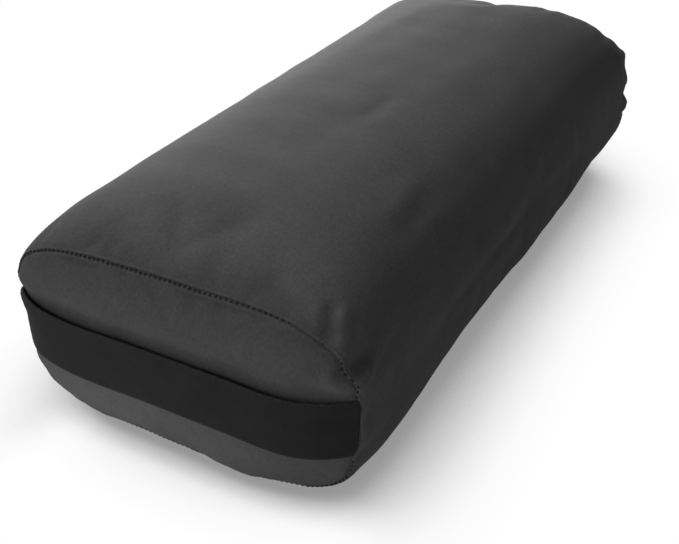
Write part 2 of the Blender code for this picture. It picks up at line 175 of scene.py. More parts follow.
# The photograph's camera
IMAGE_WIDTH = 679
FOCAL_PIXELS = 960.6
SENSOR_WIDTH = 36.0
VIEW_AZIMUTH = 30.484
VIEW_ELEVATION = 32.578
VIEW_ROLL = -2.004
VIEW_DISTANCE = 1.0454
VIEW_TARGET = (-0.0565, 0.0157, -0.0312)

# Lamps, each as (name, place, aim, size, watts); the bounce stands for light off a white floor
BOUNCE = "floor_bounce"
LAMPS = (
    ("left", (-0.95, 0.45, 1.4), (0, 0, 0.1), (1.0, 1.2), 35.5),
    ("left_rear", (-1.2, 1.5, 0.35), (0, 0.2, 0.15), (1.2, 0.4), 49.0),
    ("left_front", (-0.6, -1.5, 0.9), (0, -0.3, 0.1), (1.0, 0.6), 8.0),
    ("right_front", (0.75, -1.25, 0.35), (0.1, -0.1, 0.08), (0.6, 0.4), 2.7),
    ("overhead", (0.1, -0.4, 1.7), (0, -0.1, 0.1), (0.8, 0.8), 2.3),
    (BOUNCE, (-0.055, -0.43, 0.006), (-0.05, -0.335, 0.05), (0.26, 0.06), 0.18),
)

# The floor's painted shadow: its glow by how much open sky it sees, with painted light in front and
# painted shade by the corner
FLOOR_HALF_SIZE = 30.0
SHADOW_REACH = 0.12
FLOOR_SHADES = [
    (0.33, 0.30), (0.40, 0.334), (0.47, 0.437), (0.54, 0.55),
    (0.6, 0.646), (0.7, 0.82), (0.82, 0.955), (0.95, 1.0),
]
PAINTED_LIGHT_IN_FRONT = 0.22
PAINTED_SHADE_BY_CORNER = -0.06

BODY = "bolster"
MM = 1000

# Where the filling pushes the cover out or leaves it slack, as (x, y, z, height) in millimetres
LUMP_REACH = 0.040
LUMPS = (
    (146, 24, 48, 2.8), (136, 71, 32, 2.5), (137, 128, 31, 2.3), (139, 179, 35, 1.8),
    (136, 236, 32, 0.9), (135, 287, 32, 1.2), (150, 313, 76, 4.0), (153, 300, 130, 1.2),
    (121, 317, 165, -1.0), (90, 283, 189, 1.6), (43, 305, 186, 2.0), (-117, 305, 174, 1.5),
    (-111, 249, 186, 1.8), (-106, 192, 187, 2.2), (-106, 136, 187, 2.7), (-102, 80, 188, 2.1),
    (-110, 28, 185, 1.6), (-106, -24, 187, 1.8), (-103, -76, 189, 1.8), (-110, -128, 185, 1.8),
    (-110, -179, 185, 2.2), (-110, -231, 185, 0.8), (-124, -279, 175, 0.8), (-145, -318, 149, 0.1),
    (-152, -321, 98, -0.2), (-143, -322, 46, 1.4), (-95, -330, 33, 1.5), (-45, -330, 26, -1.7),
    (5, -327, 22, 0.2), (55, -330, 26, 3.0), (107, -325, 27, -0.7), (149, -318, 54, -1.8),
    (140, -270, 38, 4.1), (136, -218, 32, 3.6), (136, -166, 32, 0.7), (139, -115, 35, -1.0),
    (140, -63, 38, 0.5), (153, -318, 98, 2.0), (126, -322, 166, 4.2),
)

# Folds, each as (path, depth, width) in millimetres; a depth below zero is a ridge
FOLD_SHOULDER = 0.3
SEAM_NEARNESS = 0.012
FOLDS = (
    (((115, -131, 179), (120, -172, 178), (124, -210, 177)), 0.8, 8),
    (((98, -118, 187), (106, -160, 184), (112, -190, 181)), -0.5, 8),
    (((28, -28, 204), (30, -88, 204)), 0.7, 8),
    (((152, -235, 115), (152, -193, 111), (152, -116, 115),
      (152, -47, 116), (148, 38, 136), (147, 87, 138)), -1.2, 8),
    (((152, -180, 96), (152, -120, 88), (152, -60, 92)), -0.7, 5),
    (((151, -90, 104), (152, -30, 97), (151, 30, 104)), 0.9, 6),
    (((150, 0, 122), (151, 60, 112), (152, 120, 100)), -0.8, 6),
    (((121, -299, 175), (125, -307, 170), (130, -316, 163)), 2.2, 4.5),
    (((128, -292, 171), (131, -308, 166), (136, -318, 158)), -1.4, 4.5),
    (((150, -292, 141), (148, -309, 143), (147, -323, 144)), 4.2, 6),
    (((153, -321, 132), (152, -300, 136), (151, -272, 144), (150, -240, 146)), -1.5, 5),
    (((152, -290, 126), (152, -323, 128)), 1.2, 4.5),
    (((116, -336, 127), (134, -333, 126), (150, -323, 125)), 3.2, 4),
    (((153, -316, 74), (153, -322, 98), (153, -322, 122)), -4.0, 15),
    (((-151, -296, 127), (-151, -324, 125)), 4.2, 5),
    (((-151, -298, 70), (-150, -324, 71)), 0.8, 5),
    (((-65, -307, 183), (-72, -317, 177)), 0.9, 3.5),
    (((-118, -296, 178), (-126, -318, 168)), 1.2, 5),
    (((148, 290, 150), (146, 324, 146)), -2.4, 5),
    (((151, 296, 130), (151, 326, 131)), 1.4, 5),
    (((152, 300, 115), (152, 326, 115)), -1.2, 4),
    (((152, 298, 103), (152, 326, 103)), 1.6, 4),
    (((152, 292, 90), (152, 326, 89)), -3.6, 4.5),
    (((133, 270, 175), (128, 300, 170), (122, 320, 165)), 1.0, 6),
    (((-151, 292, 124), (-151, 324, 124)), 2.8, 5),
    (((-146, 284, 152), (-140, 322, 150)), 1.8, 6),
    (((-152, 290, 72), (-150, 324, 71)), 1.8, 5),
    (((60, 262, 196), (66, 300, 186), (70, 318, 176)), 1.0, 6),
    (((-152, -268, 88), (-152, -200, 74), (-151, -120, 66)), -1.0, 6),
    (((-151, 250, 130), (-148, 180, 142), (-146, 90, 146)), -1.0, 6),
    (((-150, -230, 134), (-148, -150, 142), (-147, -70, 144)), 0.8, 7),
    (((-152, 60, 74), (-152, 140, 66), (-152, 220, 72)), 0.9, 6),
)


# Form of the filled cover

def section(y):
    """Top, bottom, widest height and the powers of the upper and lower curve of the section at y."""
    share = min(1.0, abs(y) / HALF_LENGTH)
    top = MID_HEIGHT - (MID_HEIGHT - END_HEIGHT) * share**TOP_FALL_POWER
    bottom = END_LIFT * share**LIFT_POWER - REST_DEPTH
    end_widest = END_LIFT + WIDEST_SHARE * (END_HEIGHT - END_LIFT)
    widest = ZIP_HEIGHT + (end_widest - ZIP_HEIGHT) * share**LIFT_POWER
    rounding = share**ROUNDING_POWER
    upper, lower = (middle + (end - middle) * rounding for middle, end in (UPPER_POWERS, LOWER_POWERS))
    return top, bottom, widest, upper, lower


def half_section(y, side, inset=0.0, narrowing=0.0):
    """Points from the -X side over the top (side 1) or under the bottom (side -1) to the +X side."""
    top, bottom, widest, upper, lower = section(y)
    power = upper if side > 0 else lower
    height = (top - widest if side > 0 else widest - bottom) - inset
    across = (HALF_WIDTH - inset - narrowing) * np.cos(QUARTER_TURN) ** (2 / power)
    rise = height * np.sin(QUARTER_TURN) ** (2 / power)
    x = np.concatenate([-across, across[-2::-1]])
    z = widest + side * np.concatenate([rise, rise[-2::-1]])
    return np.stack([x, np.full(len(x), y), z], 1)


def lengths_along(points):
    steps = np.linalg.norm(np.diff(points, axis=0), axis=1)
    return np.concatenate([[0.0], np.cumsum(steps)])


def at_lengths(points, wanted, values=None):
    """Points, or values that belong to them, at the wanted lengths along a polyline."""
    along = lengths_along(points)
    values = points if values is None else values
    return np.stack([np.interp(wanted, along, column) for column in values.T], 1)


def close_ring(points):
    return np.concatenate([points, points[:1]])


def graded(start, end, fine, coarse, growth=0.3, fine_end=True):
    """Steps from start to end that begin fine, and end so where asked, and grow coarse in between."""
    samples = np.linspace(start, end, 4000)
    room = samples - start
    if fine_end:
        room = np.minimum(room, end - samples)
    size = np.minimum(coarse, fine + growth * room)
    count = np.concatenate([[0.0], np.cumsum(np.diff(samples) / size[1:])])
    whole = max(2, int(round(count[-1])))
    return np.interp(np.linspace(0.0, count[-1], whole + 1), count, samples)


def ring_columns(edge, fine, coarse):
    """Shares of the way round each half of the section from the zip's edge, and places across it."""
    upper, lower = (graded(0.0, half, fine, coarse, fine_end=False) / half for half in ROUND_LENGTHS)
    return upper, lower, np.linspace(-edge, edge, 5)


def section_ring(y, columns, inset=0.0, narrowing=0.0):
    """A closed ring of points that starts at the zip's upper edge and goes over the top."""
    upper, lower, across = columns
    edge = across[-1]
    over = half_section(y, 1, inset, narrowing)
    under = half_section(y, -1, inset, narrowing)
    first = at_lengths(over, edge + upper * (lengths_along(over)[-1] - edge))
    second = at_lengths(under, edge + lower[::-1] * (lengths_along(under)[-1] - edge))[1:]
    below = at_lengths(under, -across[1:3])
    return np.concatenate([first, second, below, at_lengths(over, across[3:4])])


def ring_lengths(y, columns):
    """Distance round the ring of each of its points, for the cloth's own coordinates."""
    return lengths_along(close_ring(section_ring(y, columns)))


def unit(vectors):
    return vectors / np.maximum(np.linalg.norm(vectors, axis=-1, keepdims=True), 1e-12)


def smooth_step(values):
    share = np.clip(values, 0.0, 1.0)
    return share * share * (3.0 - 2.0 * share)


def grid_normals(points):
    """Normals, out of the cushion, of a grid of points whose second index runs round the ring."""
    around = np.roll(points, -1, 1) - np.roll(points, 1, 1)
    normals = unit(np.cross(around, np.gradient(points, axis=0)))
    return normals * (1.0 if (normals * (points - CENTRE)).sum() > 0 else -1.0)


def pushed_out(grid, moved):
    """A grid of points moved along its normals."""
    return grid + grid_normals(grid) * np.reshape(moved, (*grid.shape[:2], 1))


def panel_rows(end, half_length, inset, narrowing, columns, shares):
    """Rings of an end panel from its rim to near its middle, crowned outwards, and the rim's middle."""
    outline = section_ring(end * half_length, columns, inset, narrowing)
    middle = outline.mean(axis=0)
    rows = middle + (outline - middle) * shares[:, None, None]
    rows[:, :, 1] = end * (half_length + END_CROWN * (1 - shares**CROWN_POWER))[:, None]
    return rows, middle


# Meshes

def new_object(name, data):
    made = bpy.data.objects.new(name, data)
    bpy.context.scene.collection.objects.link(made)
    return made


def mesh_from(name, vertices, faces, uv=None, marks=None, turns=None):
    """A smooth mesh from arrays. Its UV map is the cloth's own coordinates; turns are full rounds."""
    data = bpy.data.meshes.new(name)
    data.from_pydata([tuple(v) for v in vertices], [], [tuple(f) for f in faces])
    if uv is not None:
        loops = np.empty(len(data.loops), np.int32)
        data.loops.foreach_get("vertex_index", loops)
        corners = np.array(uv, np.float32)[loops]
        if turns is not None:
            across = corners[:, 0].reshape(-1, 4)
            most_of_a_turn = 0.3
            closing = np.ptp(across, axis=1, keepdims=True) > most_of_a_turn
            starting = closing & (across < most_of_a_turn)
            across += np.where(starting, np.asarray(turns)[loops].reshape(-1, 4), 0.0)
            corners[:, 0] = across.ravel()
        data.uv_layers.new(name="cloth").data.foreach_set("uv", corners.ravel())
    for mark, values in (marks or {}).items():
        layer = data.attributes.new(mark, "FLOAT", "POINT")
        layer.data.foreach_set("value", np.asarray(values, np.float32))
    data.polygons.foreach_set("use_smooth", [True] * len(data.polygons))
    data.update()
    return new_object(name, data)


def grid_faces(rows, columns, closed=True, keep=None, flip=False):
    """Quads of a grid of points; keep says which cells are filled."""
    faces = []
    for row in range(rows - 1):
        low = row * columns
        high = low + columns
        for column in range(columns if closed else columns - 1):
            if keep is None or keep[row][column]:
                beside = (column + 1) % columns
                corners = (low + column, low + beside, high + beside, high + column)
                faces.append(corners[::-1] if flip else corners)
    return faces


def fan_faces(base, count, tip, flip):
    """Triangles from a ring of points to one point."""
    fans = [(base + column, base + (column + 1) % count, tip) for column in range(count)]
    return [fan[::-1] for fan in fans] if flip else fans


def end_caps(count, total, flip=False):
    """Faces that close the first and the last ring of a tube."""
    caps = [tuple(range(count))[::-1], tuple(range(total - count, total))]
    return [cap[::-1] for cap in caps] if flip else caps


def panel_mesh(name, rows, tip, end, marks=None):
    """The mesh of an end panel: its rings and the point in their middle."""
    count = rows.shape[1]
    vertices = np.concatenate([rows.reshape(-1, 3), tip])
    faces = grid_faces(len(rows), count, flip=end > 0)
    faces += fan_faces((len(rows) - 1) * count, count, len(vertices) - 1, end > 0)
    return mesh_from(name, vertices, faces, vertices[:, [0, 2]], marks)


def modify(made, kind, **settings):
    modifier = made.modifiers.new(kind.title(), kind)
    for name, value in settings.items():
        setattr(modifier, name, value)
    return modifier


def applied(made):
    """Put a piece's modifiers into its mesh."""
    bpy.context.view_layer.update()
    evaluated = made.evaluated_get(bpy.context.evaluated_depsgraph_get())
    data = bpy.data.meshes.new_from_object(evaluated)
    made.modifiers.clear()
    made.data = data
    return data


def vertex_vectors(data, name):
    """A mesh's places or normals, one row for each vertex."""
    values = np.empty(len(data.vertices) * 3)
    data.vertices.foreach_get(name, values)
    return values.reshape(-1, 3)


def finish_piece(made, look, stands_for=(), thickness=None):
    """Give a piece its thickness, material and body, and hide the solids that it stands for."""
    if thickness is not None:
        modify(made, "SOLIDIFY", thickness=thickness, offset=-1.0, use_even_offset=False)
    made.data.materials.clear()
    made.data.materials.append(look)
    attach(made, BODY)
    if stands_for:
        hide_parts(*stands_for)


# Folds settled by simulation

def soft_noise(points, scale, seed):
    """A smooth field between about -1 and 1, the same each run."""
    waves = 14
    source = np.random.default_rng(seed)
    field = np.zeros(len(points))
    for _ in range(waves):
        direction = unit(source.normal(size=3)) * source.uniform(0.6, 1.5) * 2 * math.pi
        field += np.sin((points / np.array(scale)) @ direction + source.uniform(0, 2 * math.pi))
    return field * math.sqrt(2.0 / waves) / 1.6


def spare_cloth(points):
    """How much longer the cloth is than the form under it, from 0 to 1."""
    sideways = np.abs(points[:, 0])
    height = points[:, 2]
    past_seam = np.abs(points[:, 1]) - HALF_LENGTH
    beside_seam = smooth_step(1.0 + np.minimum(past_seam, 0.0) / SEAM_EASE_REACH)
    at_corner = smooth_step((sideways - 0.08) / 0.05)
    gathered = np.where(points[:, 1] > 0, 0.35 + 0.4 * at_corner, 0.08 + 0.45 * at_corner)
    wall = smooth_step((sideways - 0.125) / 0.02) * smooth_step((height - 0.02) / 0.03)
    wall *= smooth_step((0.165 - height) / 0.03)
    patches = 0.5 + 0.5 * soft_noise(points, (0.09, 0.12, 0.07), 11)
    spare = np.maximum(beside_seam * gathered, 0.15 * wall) * np.clip(0.4 + 0.8 * patches, 0.0, 1.3)
    rim = smooth_step(1.0 - past_seam / RIM_EASE_REACH)
    return np.where(past_seam > 1e-6, 0.35 * rim * patches, spare)


def closed_bag():
    """The cover as one closed mesh of even cells."""
    columns = ring_columns(OPENING_HALF_HEIGHT, BAG_FINE_STEP, BAG_STEP)
    rows = np.linspace(-HALF_LENGTH, HALF_LENGTH, int(2 * HALF_LENGTH / BAG_STEP) + 4)
    wrap = [section_ring(y, columns) for y in rows]
    shares = np.linspace(1.0, 0.06, 18)[1:]
    front, front_middle = panel_rows(-1, HALF_LENGTH, 0.0, 0.0, columns, shares)
    rear, rear_middle = panel_rows(1, HALF_LENGTH, 0.0, 0.0, columns, shares)
    rings = np.array([*front[::-1], *wrap, *rear])
    count = rings.shape[1]
    crown = np.array([0.0, END_CROWN, 0.0])
    points = np.concatenate([rings.reshape(-1, 3), [front_middle - crown, rear_middle + crown]])
    faces = grid_faces(len(rings), count)
    faces += fan_faces(0, count, len(points) - 2, True)
    faces += fan_faces((len(rings) - 1) * count, count, len(points) - 1, False)
    return points, faces


def add_group(made, name, weights):
    group = made.vertex_groups.new(name=name)
    for index, weight in enumerate(weights):
        group.add([index], float(weight), "REPLACE")


def settle_folds():
    """Settle a closed bag with spare cloth round its filling, and keep how far its folds stand out."""
    points, faces = closed_bag()
    made = mesh_from("settling_bag", points, faces)
    no_change = SPARE_CLOTH / (SPARE_CLOTH + SEAM_SHRINK)
    eased = no_change * (1.0 - spare_cloth(points))
    eased[np.abs(np.abs(points[:, 1]) - HALF_LENGTH) < 1e-6] = 1.0
    add_group(made, "ease", eased)
    add_group(made, "filling", np.full(len(points), 0.1))
    cloth = modify(made, "CLOTH")
    for name, value in BAG_CLOTH.items():
        setattr(cloth.settings, name, value)
    cloth.settings.effector_weights.gravity = 0.0
    cloth.collision_settings.use_collision = False
    cloth.point_cache.frame_start = 1
    cloth.point_cache.frame_end = SETTLE_FRAMES
    for frame_number in range(1, SETTLE_FRAMES + 1):
        bpy.context.scene.frame_set(frame_number)
    settled = made.evaluated_get(bpy.context.evaluated_depsgraph_get()).to_mesh()
    normals = vertex_vectors(made.data, "normal")
    if (normals * (points - CENTRE)).sum() < 0:
        normals = -normals
    standing = ((vertex_vectors(settled, "co") - points) * normals).sum(1)
    edges = np.array([edge.vertices[:] for edge in made.data.edges])
    bpy.data.objects.remove(made, do_unlink=True)
    bpy.context.scene.frame_set(1)
    folds = calmed_folds(points, standing - spread_out(standing, edges, SMOOTHING_ROUNDS))
    tree = KDTree(len(points))
    for index, point in enumerate(points):
        tree.insert(point, index)
    tree.balance()
    return tree, folds


def calmed_folds(points, folds):
    """Lower the folds on the walls, by the floor and in the middle of the ends, and limit them all."""
    from_middle = np.linalg.norm((points - (0.0, 0.0, ZIP_HEIGHT)) * (1, 0, 1), axis=1)
    past_seam = np.abs(points[:, 1]) > HALF_LENGTH + 1e-6
    on_wall = smooth_step((np.abs(points[:, 0]) - 0.115) / 0.03)
    by_floor = smooth_step((0.075 - points[:, 2]) / 0.03)
    to_seam = smooth_step((np.abs(points[:, 1]) - 0.25) / 0.06)
    folds = folds * (1.0 - 0.5 * np.maximum(on_wall * (1.0 - to_seam), by_floor))
    folds *= np.where(past_seam, smooth_step((from_middle - 0.03) / 0.05), 1.0)
    return FOLD_LIMIT * np.tanh(folds / FOLD_LIMIT)


def spread_out(values, edges, rounds):
    """Average each point's value with its neighbours' many times."""
    degree = np.bincount(edges.ravel(), minlength=len(values))
    for _ in range(rounds):
        total = np.bincount(edges[:, 0], values[edges[:, 1]], len(values))
        total += np.bincount(edges[:, 1], values[edges[:, 0]], len(values))
        values = 0.5 * values + 0.5 * total / degree
    return values


def settled_height(points):
    """The simulated folds at any points near the cover."""
    if simulated is None:
        return np.zeros(len(points))
    tree, folds = simulated
    heights = np.empty(len(points))
    for place, point in enumerate(points):
        found = tree.find_n(point, 9)
        weights = np.array([math.exp(-(distance / NEAR_CELL) ** 2) for _, _, distance in found]) + 1e-9
        near = max(0.0, 1.0 - found[0][2] / NEAR_REACH)
        heights[place] = near * (weights @ folds[[index for _, index, _ in found]]) / weights.sum()
    return heights


# Relief of the cloth: folds, puckers and lumps

def crease(points, path, depth, width):
    """A fold along a path: a valley, or a ridge where the depth is negative, with raised shoulders."""
    best = np.full(len(points), 1e9)
    where = np.zeros(len(points))
    total = lengths_along(path)
    for index in range(len(path) - 1):
        start = path[index]
        step = path[index + 1] - start
        share = np.clip((points - start) @ step / (step @ step), 0.0, 1.0)
        distance = np.linalg.norm(points - start - share[:, None] * step, axis=1)
        nearer = distance < best
        best = np.where(nearer, distance, best)
        reached = (total[index] + share * (total[index + 1] - total[index])) / total[-1]
        where = np.where(nearer, reached, where)
    taper = 1.0 - (2.0 * where - 1.0) ** 4
    ends_at_seam = np.abs(np.abs(path[-1][1]) - HALF_LENGTH) < SEAM_NEARNESS
    if ends_at_seam:
        taper = np.where(where > 0.5, 1.0, taper)
    valley = np.exp(-((best / width) ** 2))
    raised = np.exp(-(((best - 2.0 * width) / width) ** 2))
    return depth * taper * (FOLD_SHOULDER * raised - valley)


def lump(points, centre, reach, amount):
    spread = (points - np.array(centre)) / reach
    return amount * np.exp(-(spread**2).sum(1))


def broad_relief(points):
    """The uneven filling, without the folds."""
    moved = 0.0008 * soft_noise(points, (0.16, 0.2, 0.12), 3)
    moved += 0.0004 * soft_noise(points, (0.05, 0.08, 0.04), 4)
    for *centre, height in LUMPS:
        moved += lump(points, np.array(centre) / MM, LUMP_REACH, height / MM)
    return moved * calm(points)


def fold_relief(points):
    """Folds and puckers, and the ridge where the seam allowance lies behind the cloth."""
    moved = settled_height(points)
    for path, depth, width in FOLDS:
        moved += crease(points, np.array(path) / MM, depth / MM, width / MM)
    to_seam = np.abs(HALF_LENGTH - np.abs(points[:, 1]))
    moved += 0.0003 * soft_noise(points, (0.014, 0.03, 0.014), 8) * np.exp(-to_seam / 0.012)
    on_wrap = np.abs(points[:, 1]) < HALF_LENGTH
    moved += np.where(on_wrap, 0.0004 * smooth_step((0.0085 - to_seam) / 0.003), 0.0)
    return moved * calm(points)


def relief(points):
    """How far the cloth stands out from the plain form at each point."""
    return broad_relief(points) + fold_relief(points)


def calm(points):
    """Nothing moves beside the zip."""
    beside_zip = (np.abs(points[:, 2] - ZIP_HEIGHT) - 0.012) / 0.02
    past_zip = (np.abs(points[:, 1]) - 0.268) / 0.02
    on_side = points[:, 0] < -0.12
    return np.where(on_side, smooth_step(np.maximum(beside_zip, past_zip)), 1.0)


def behind_strap(points, moved):
    """Keep the end panels' cloth behind the handles."""
    share = np.clip(np.abs(points[:, 0]) / (HALF_WIDTH - STRAP_SETBACK), 0.0, 1.0)
    room = 0.55 * STRAP_STAND_OFF * (1.0 - share**STRAP_CROWN_POWER)
    behind = smooth_step((STRAP_WIDTH / 2 + 0.012 - np.abs(points[:, 2] - STRAP_HEIGHT)) / 0.01)
    return np.where(moved > room, moved + (room - moved) * behind, moved)


# Cover

def seam_roll(ring, inward, end):
    """Rings that turn a wrap's edge in at its seam, from a ring set back by the roll."""
    rings = []
    for angle in (math.radians(turn) for turn in (30, 60, 90)):
        shift = np.array([0.0, end * SEAM_ROLL * math.sin(angle), 0.0])
        rings.append(ring + inward * SEAM_ROLL * (1 - math.cos(angle)) + shift)
    turned = rings[-1]
    return rings + [turned + inward * SEAM_ALLOWANCE * depth for depth in ALLOWANCE_SHARES]


def with_turned_edges(grid):
    """A wrap's rings with those that turn its edges in, and how many were added at each end."""
    inward = -unit(grid_normals(grid) * (1, 0, 1))
    front = seam_roll(grid[0], inward[0], -1)
    rear = seam_roll(grid[-1], inward[-1], 1)
    return np.array([*front[::-1], *grid, *rear]), len(front)


def wrap_rows():
    """Where the wrap's rows lie along Y: close together at the seams and the zip's ends."""
    middle = graded(-HOLE_HALF_LENGTH, HOLE_HALF_LENGTH, 0.0015, 0.0042)
    outside = graded(HOLE_HALF_LENGTH, HALF_LENGTH - SEAM_ROLL, 0.0012, 0.0032)
    return np.concatenate([-outside[:0:-1], middle, outside[1:]])


def cover_wrap(look):
    """The cover's long panel, with turned-in seams at both ends and a hemmed opening for the zip."""
    edge = OPENING_HALF_HEIGHT + HEM_ROLL
    upper, lower, _ = ring_columns(edge, *COVER_STEPS)
    columns = upper, lower, np.array([-edge, -CLOSING_SEAM, 0.0, CLOSING_SEAM, edge])
    rows = wrap_rows()
    grid = np.array([section_ring(y, columns) for y in rows])
    lengths = np.array([ring_lengths(y, columns) for y in rows])
    count = grid.shape[1]
    flat = grid.reshape(-1, 3)
    folded = fold_relief(flat)
    moved = (broad_relief(flat) + folded).reshape(grid.shape[:2])
    moved[:, -2] -= CLOSING_SEAM * 0.8
    grid = pushed_out(grid, moved)
    grid[:, :, 2] = np.maximum(grid[:, :, 2], 0.0)
    all_rows, turned = with_turned_edges(grid)
    both_ends = ((turned, turned), (0, 0))
    around = np.pad(lengths, both_ends, "edge")
    reach = 0.002 * turned
    along = np.pad(rows, turned, "linear_ramp", end_values=(rows[0] - reach, rows[-1] + reach))
    uv = np.stack([around[:, :-1], np.repeat(along[:, None], count, 1)], -1).reshape(-1, 2)
    to_seam = np.pad(HALF_LENGTH - np.abs(rows), turned)
    # Heights of the folds in millimetres, for the cotton's painted shade in valleys and painted light
    # on ridges
    fold_shade_mark = np.pad(folded.reshape(moved.shape), both_ends).ravel() * MM
    wear = np.repeat(np.exp(-to_seam / 0.003), count)
    opened = np.pad(np.abs(rows) < HOLE_HALF_LENGTH + 1e-6, turned)
    hole = (opened[:-1] & opened[1:])[:, None] & (np.arange(count) >= count - 4)
    faces = grid_faces(len(all_rows), count, keep=~hole)
    normals = np.pad(grid_normals(grid), (*both_ends, (0, 0)), "edge")
    vertices, uv, faces = hem(all_rows.reshape(-1, 3), uv, faces, count, opened, normals)
    added = (0, len(vertices) - len(wear))
    used, corners = np.unique(faces, return_inverse=True)
    marks = {
        "fold_shade": np.pad(fold_shade_mark, added)[used],
        "wear": np.pad(wear, added, constant_values=0.7)[used],
    }
    turns = np.pad(np.repeat(around[:, -1], count), added)[used]
    made = mesh_from("cover_wrap_cloth", vertices[used], corners.reshape(-1, 4), uv[used], marks, turns)
    finish_piece(made, look, ["cover_wrap"], CLOTH)


def hem(vertices, uv, faces, count, opened, normals):
    """Turn the cloth in all round the zip opening: a rolled edge and a flap behind it."""
    first, last = np.flatnonzero(opened)[[0, -1]]
    low = count - 4
    loop = [(row, 0) for row in range(first, last + 1)]
    loop += [(last, column) for column in (count - 1, count - 2, count - 3)]
    loop += [(row, low) for row in range(last, first - 1, -1)]
    loop += [(first, column) for column in (count - 3, count - 2, count - 1)]
    row, column = np.array(loop).T
    along = (row == first) * 1.0 - (row == last)
    up = (column == low) * 1.0 - (column == 0)
    toward = np.stack([np.zeros(len(row)), along, up], 1)
    index = row * count + column
    outward = normals.reshape(-1, 3)[index]
    rings = []
    for angle in (math.radians(turn) for turn in (60, 120, 180)):
        sunk = outward * HEM_ROLL * 1.1 * (1 - math.cos(angle))
        rings.append(vertices[index] + toward * HEM_ROLL * math.sin(angle) - sunk)
    rings.append(rings[-1] - toward * HEM_DEPTH)
    before = index
    for step, ring in enumerate(rings, 1):
        after = len(vertices) + np.arange(len(ring))
        faces += np.stack([np.roll(before, -1), before, after, np.roll(after, -1)], 1).tolist()
        uv = np.concatenate([uv, uv[index] + np.abs(toward[:, [2, 1]]) * 0.001 * step])
        vertices = np.concatenate([vertices, ring])
        before = after
    return vertices, uv, faces


def seam_columns():
    """Columns for the seam's ring: two for each stitch, one under it and one before the next."""
    across = np.linspace(-OPENING_HALF_HEIGHT, OPENING_HALF_HEIGHT, 5)
    return np.linspace(0.0, 1.0, 180), np.linspace(0.0, 1.0, 174), across


def seam_ring(end, inset):
    """The seam's ring with the cover's relief, and its directions out of the cushion."""
    ring = section_ring(end * HALF_LENGTH, seam_columns(), inset)
    on_cover = section_ring(end * HALF_LENGTH, seam_columns())
    out = unit((ring - ring.mean(axis=0)) * (1, 0, 1))
    return ring + out * relief(on_cover)[:, None], out


def cover_panel(node, end, look):
    """An end panel whose rim turns in at the seam, puffed beside it and drawn down by each stitch."""
    shares = 1.0 - graded(0.0, 0.985, 0.008, 0.03, growth=0.22, fine_end=False)
    grid, middle = panel_rows(end, HALF_LENGTH, PANEL_INSET, 0.0, seam_columns(), shares)
    count = grid.shape[1]
    outline, out = seam_ring(end, PANEL_INSET)
    with_seam = (outline - grid[0]) * (shares**3)[:, None, None]
    flat = grid.reshape(-1, 3)
    inside_rim = np.repeat(smooth_step((1.0 - shares) / 0.05), count)
    folded = fold_relief(flat) * inside_rim
    depth = (1.0 - shares)[:, None] * np.linalg.norm(grid[0] - middle, axis=1)
    between = np.where(np.arange(count) % 2 == 0, 1.0, -1.0)
    puffed = SEAM_PUFF * (1.0 - np.exp(-depth / 0.0015)) * np.exp(-depth / 0.025)
    puffed += PUCKER * between * np.exp(-depth / 0.002)
    moved = behind_strap(flat, broad_relief(flat) * inside_rim + folded + puffed.ravel())
    grid = pushed_out(grid, moved) + with_seam
    rim = []
    for angle in (math.radians(turn) for turn in (35, 65, 90)):
        shift = out * PANEL_ROLL * (math.sin(angle) - 1.0)
        shift[:, 1] -= end * PANEL_ROLL * (1 - math.cos(angle))
        rim.append(grid[0] + shift)
    turned = rim[-1]
    rim += [turned - (0.0, end * SEAM_ALLOWANCE * share, 0.0) for share in ALLOWANCE_SHARES]
    grid[0] -= out * PANEL_ROLL
    tip = np.array([[middle[0], end * (HALF_LENGTH + END_CROWN), middle[2]]])
    tip[:, 1] += end * behind_strap(tip, relief(tip))
    from_rim = np.pad(1.0 - shares, (len(rim), 0))
    # The folds' heights also give the cotton its painted shade in valleys and painted light on ridges
    marks = {
        "fold_shade": np.pad(folded, (len(rim) * count, 1)) * MM,
        "wear": np.pad(np.repeat(np.exp(-from_rim / 0.03), count), (0, 1)),
    }
    made = panel_mesh(f"{node}_cloth", np.array([*rim[::-1], *grid]), tip, end, marks)
    finish_piece(made, look, [node], CLOTH)


# Thread

def stitch_shape():
    """A small bean: points and faces of one stitch, one unit long along its first axis."""
    sides = 6
    rings = 4
    points = []
    for ring in range(1, rings):
        swell = math.sin(math.pi * ring / rings) ** 0.5
        for side in range(sides):
            angle = 2 * math.pi * side / sides
            points.append((ring / rings - 0.5, swell * math.cos(angle), swell * math.sin(angle)))
    body = len(points)
    points += [(-0.5, 0.0, 0.0), (0.5, 0.0, 0.0)]
    faces = grid_faces(rings - 1, sides)
    faces += fan_faces(0, sides, body, True)
    faces += fan_faces(body - sides, sides, body + 1, False)
    return np.array(points), faces


def paced(path, pitch):
    """Lengths along a path at which evenly spaced stitches lie."""
    whole = lengths_along(path)[-1]
    count = int(whole / pitch)
    return (np.arange(count) + 0.5) * whole / count


def stitches(name, runs, size, look):
    """Beans of thread along runs, each a path, its outward directions and its stitches' places."""
    _, length, radius = size
    shape, shape_faces = stitch_shape()
    beans = []
    for path, outward, centres in runs:
        middle = at_lengths(path, centres)
        forward = unit(at_lengths(path, centres + length / 2) - at_lengths(path, centres - length / 2))
        sideways = unit(np.cross(unit(at_lengths(path, centres, outward)), forward))
        up = np.cross(forward, sideways)
        turned = np.stack([forward * length, sideways * radius, up * radius], 1)
        beans.append((middle[:, None] + shape @ turned).reshape(-1, 3))
    vertices = np.concatenate(beans)
    bases = range(0, len(vertices), len(shape))
    faces = [tuple(base + corner for corner in face) for base in bases for face in shape_faces]
    finish_piece(mesh_from(name, vertices, faces), look)


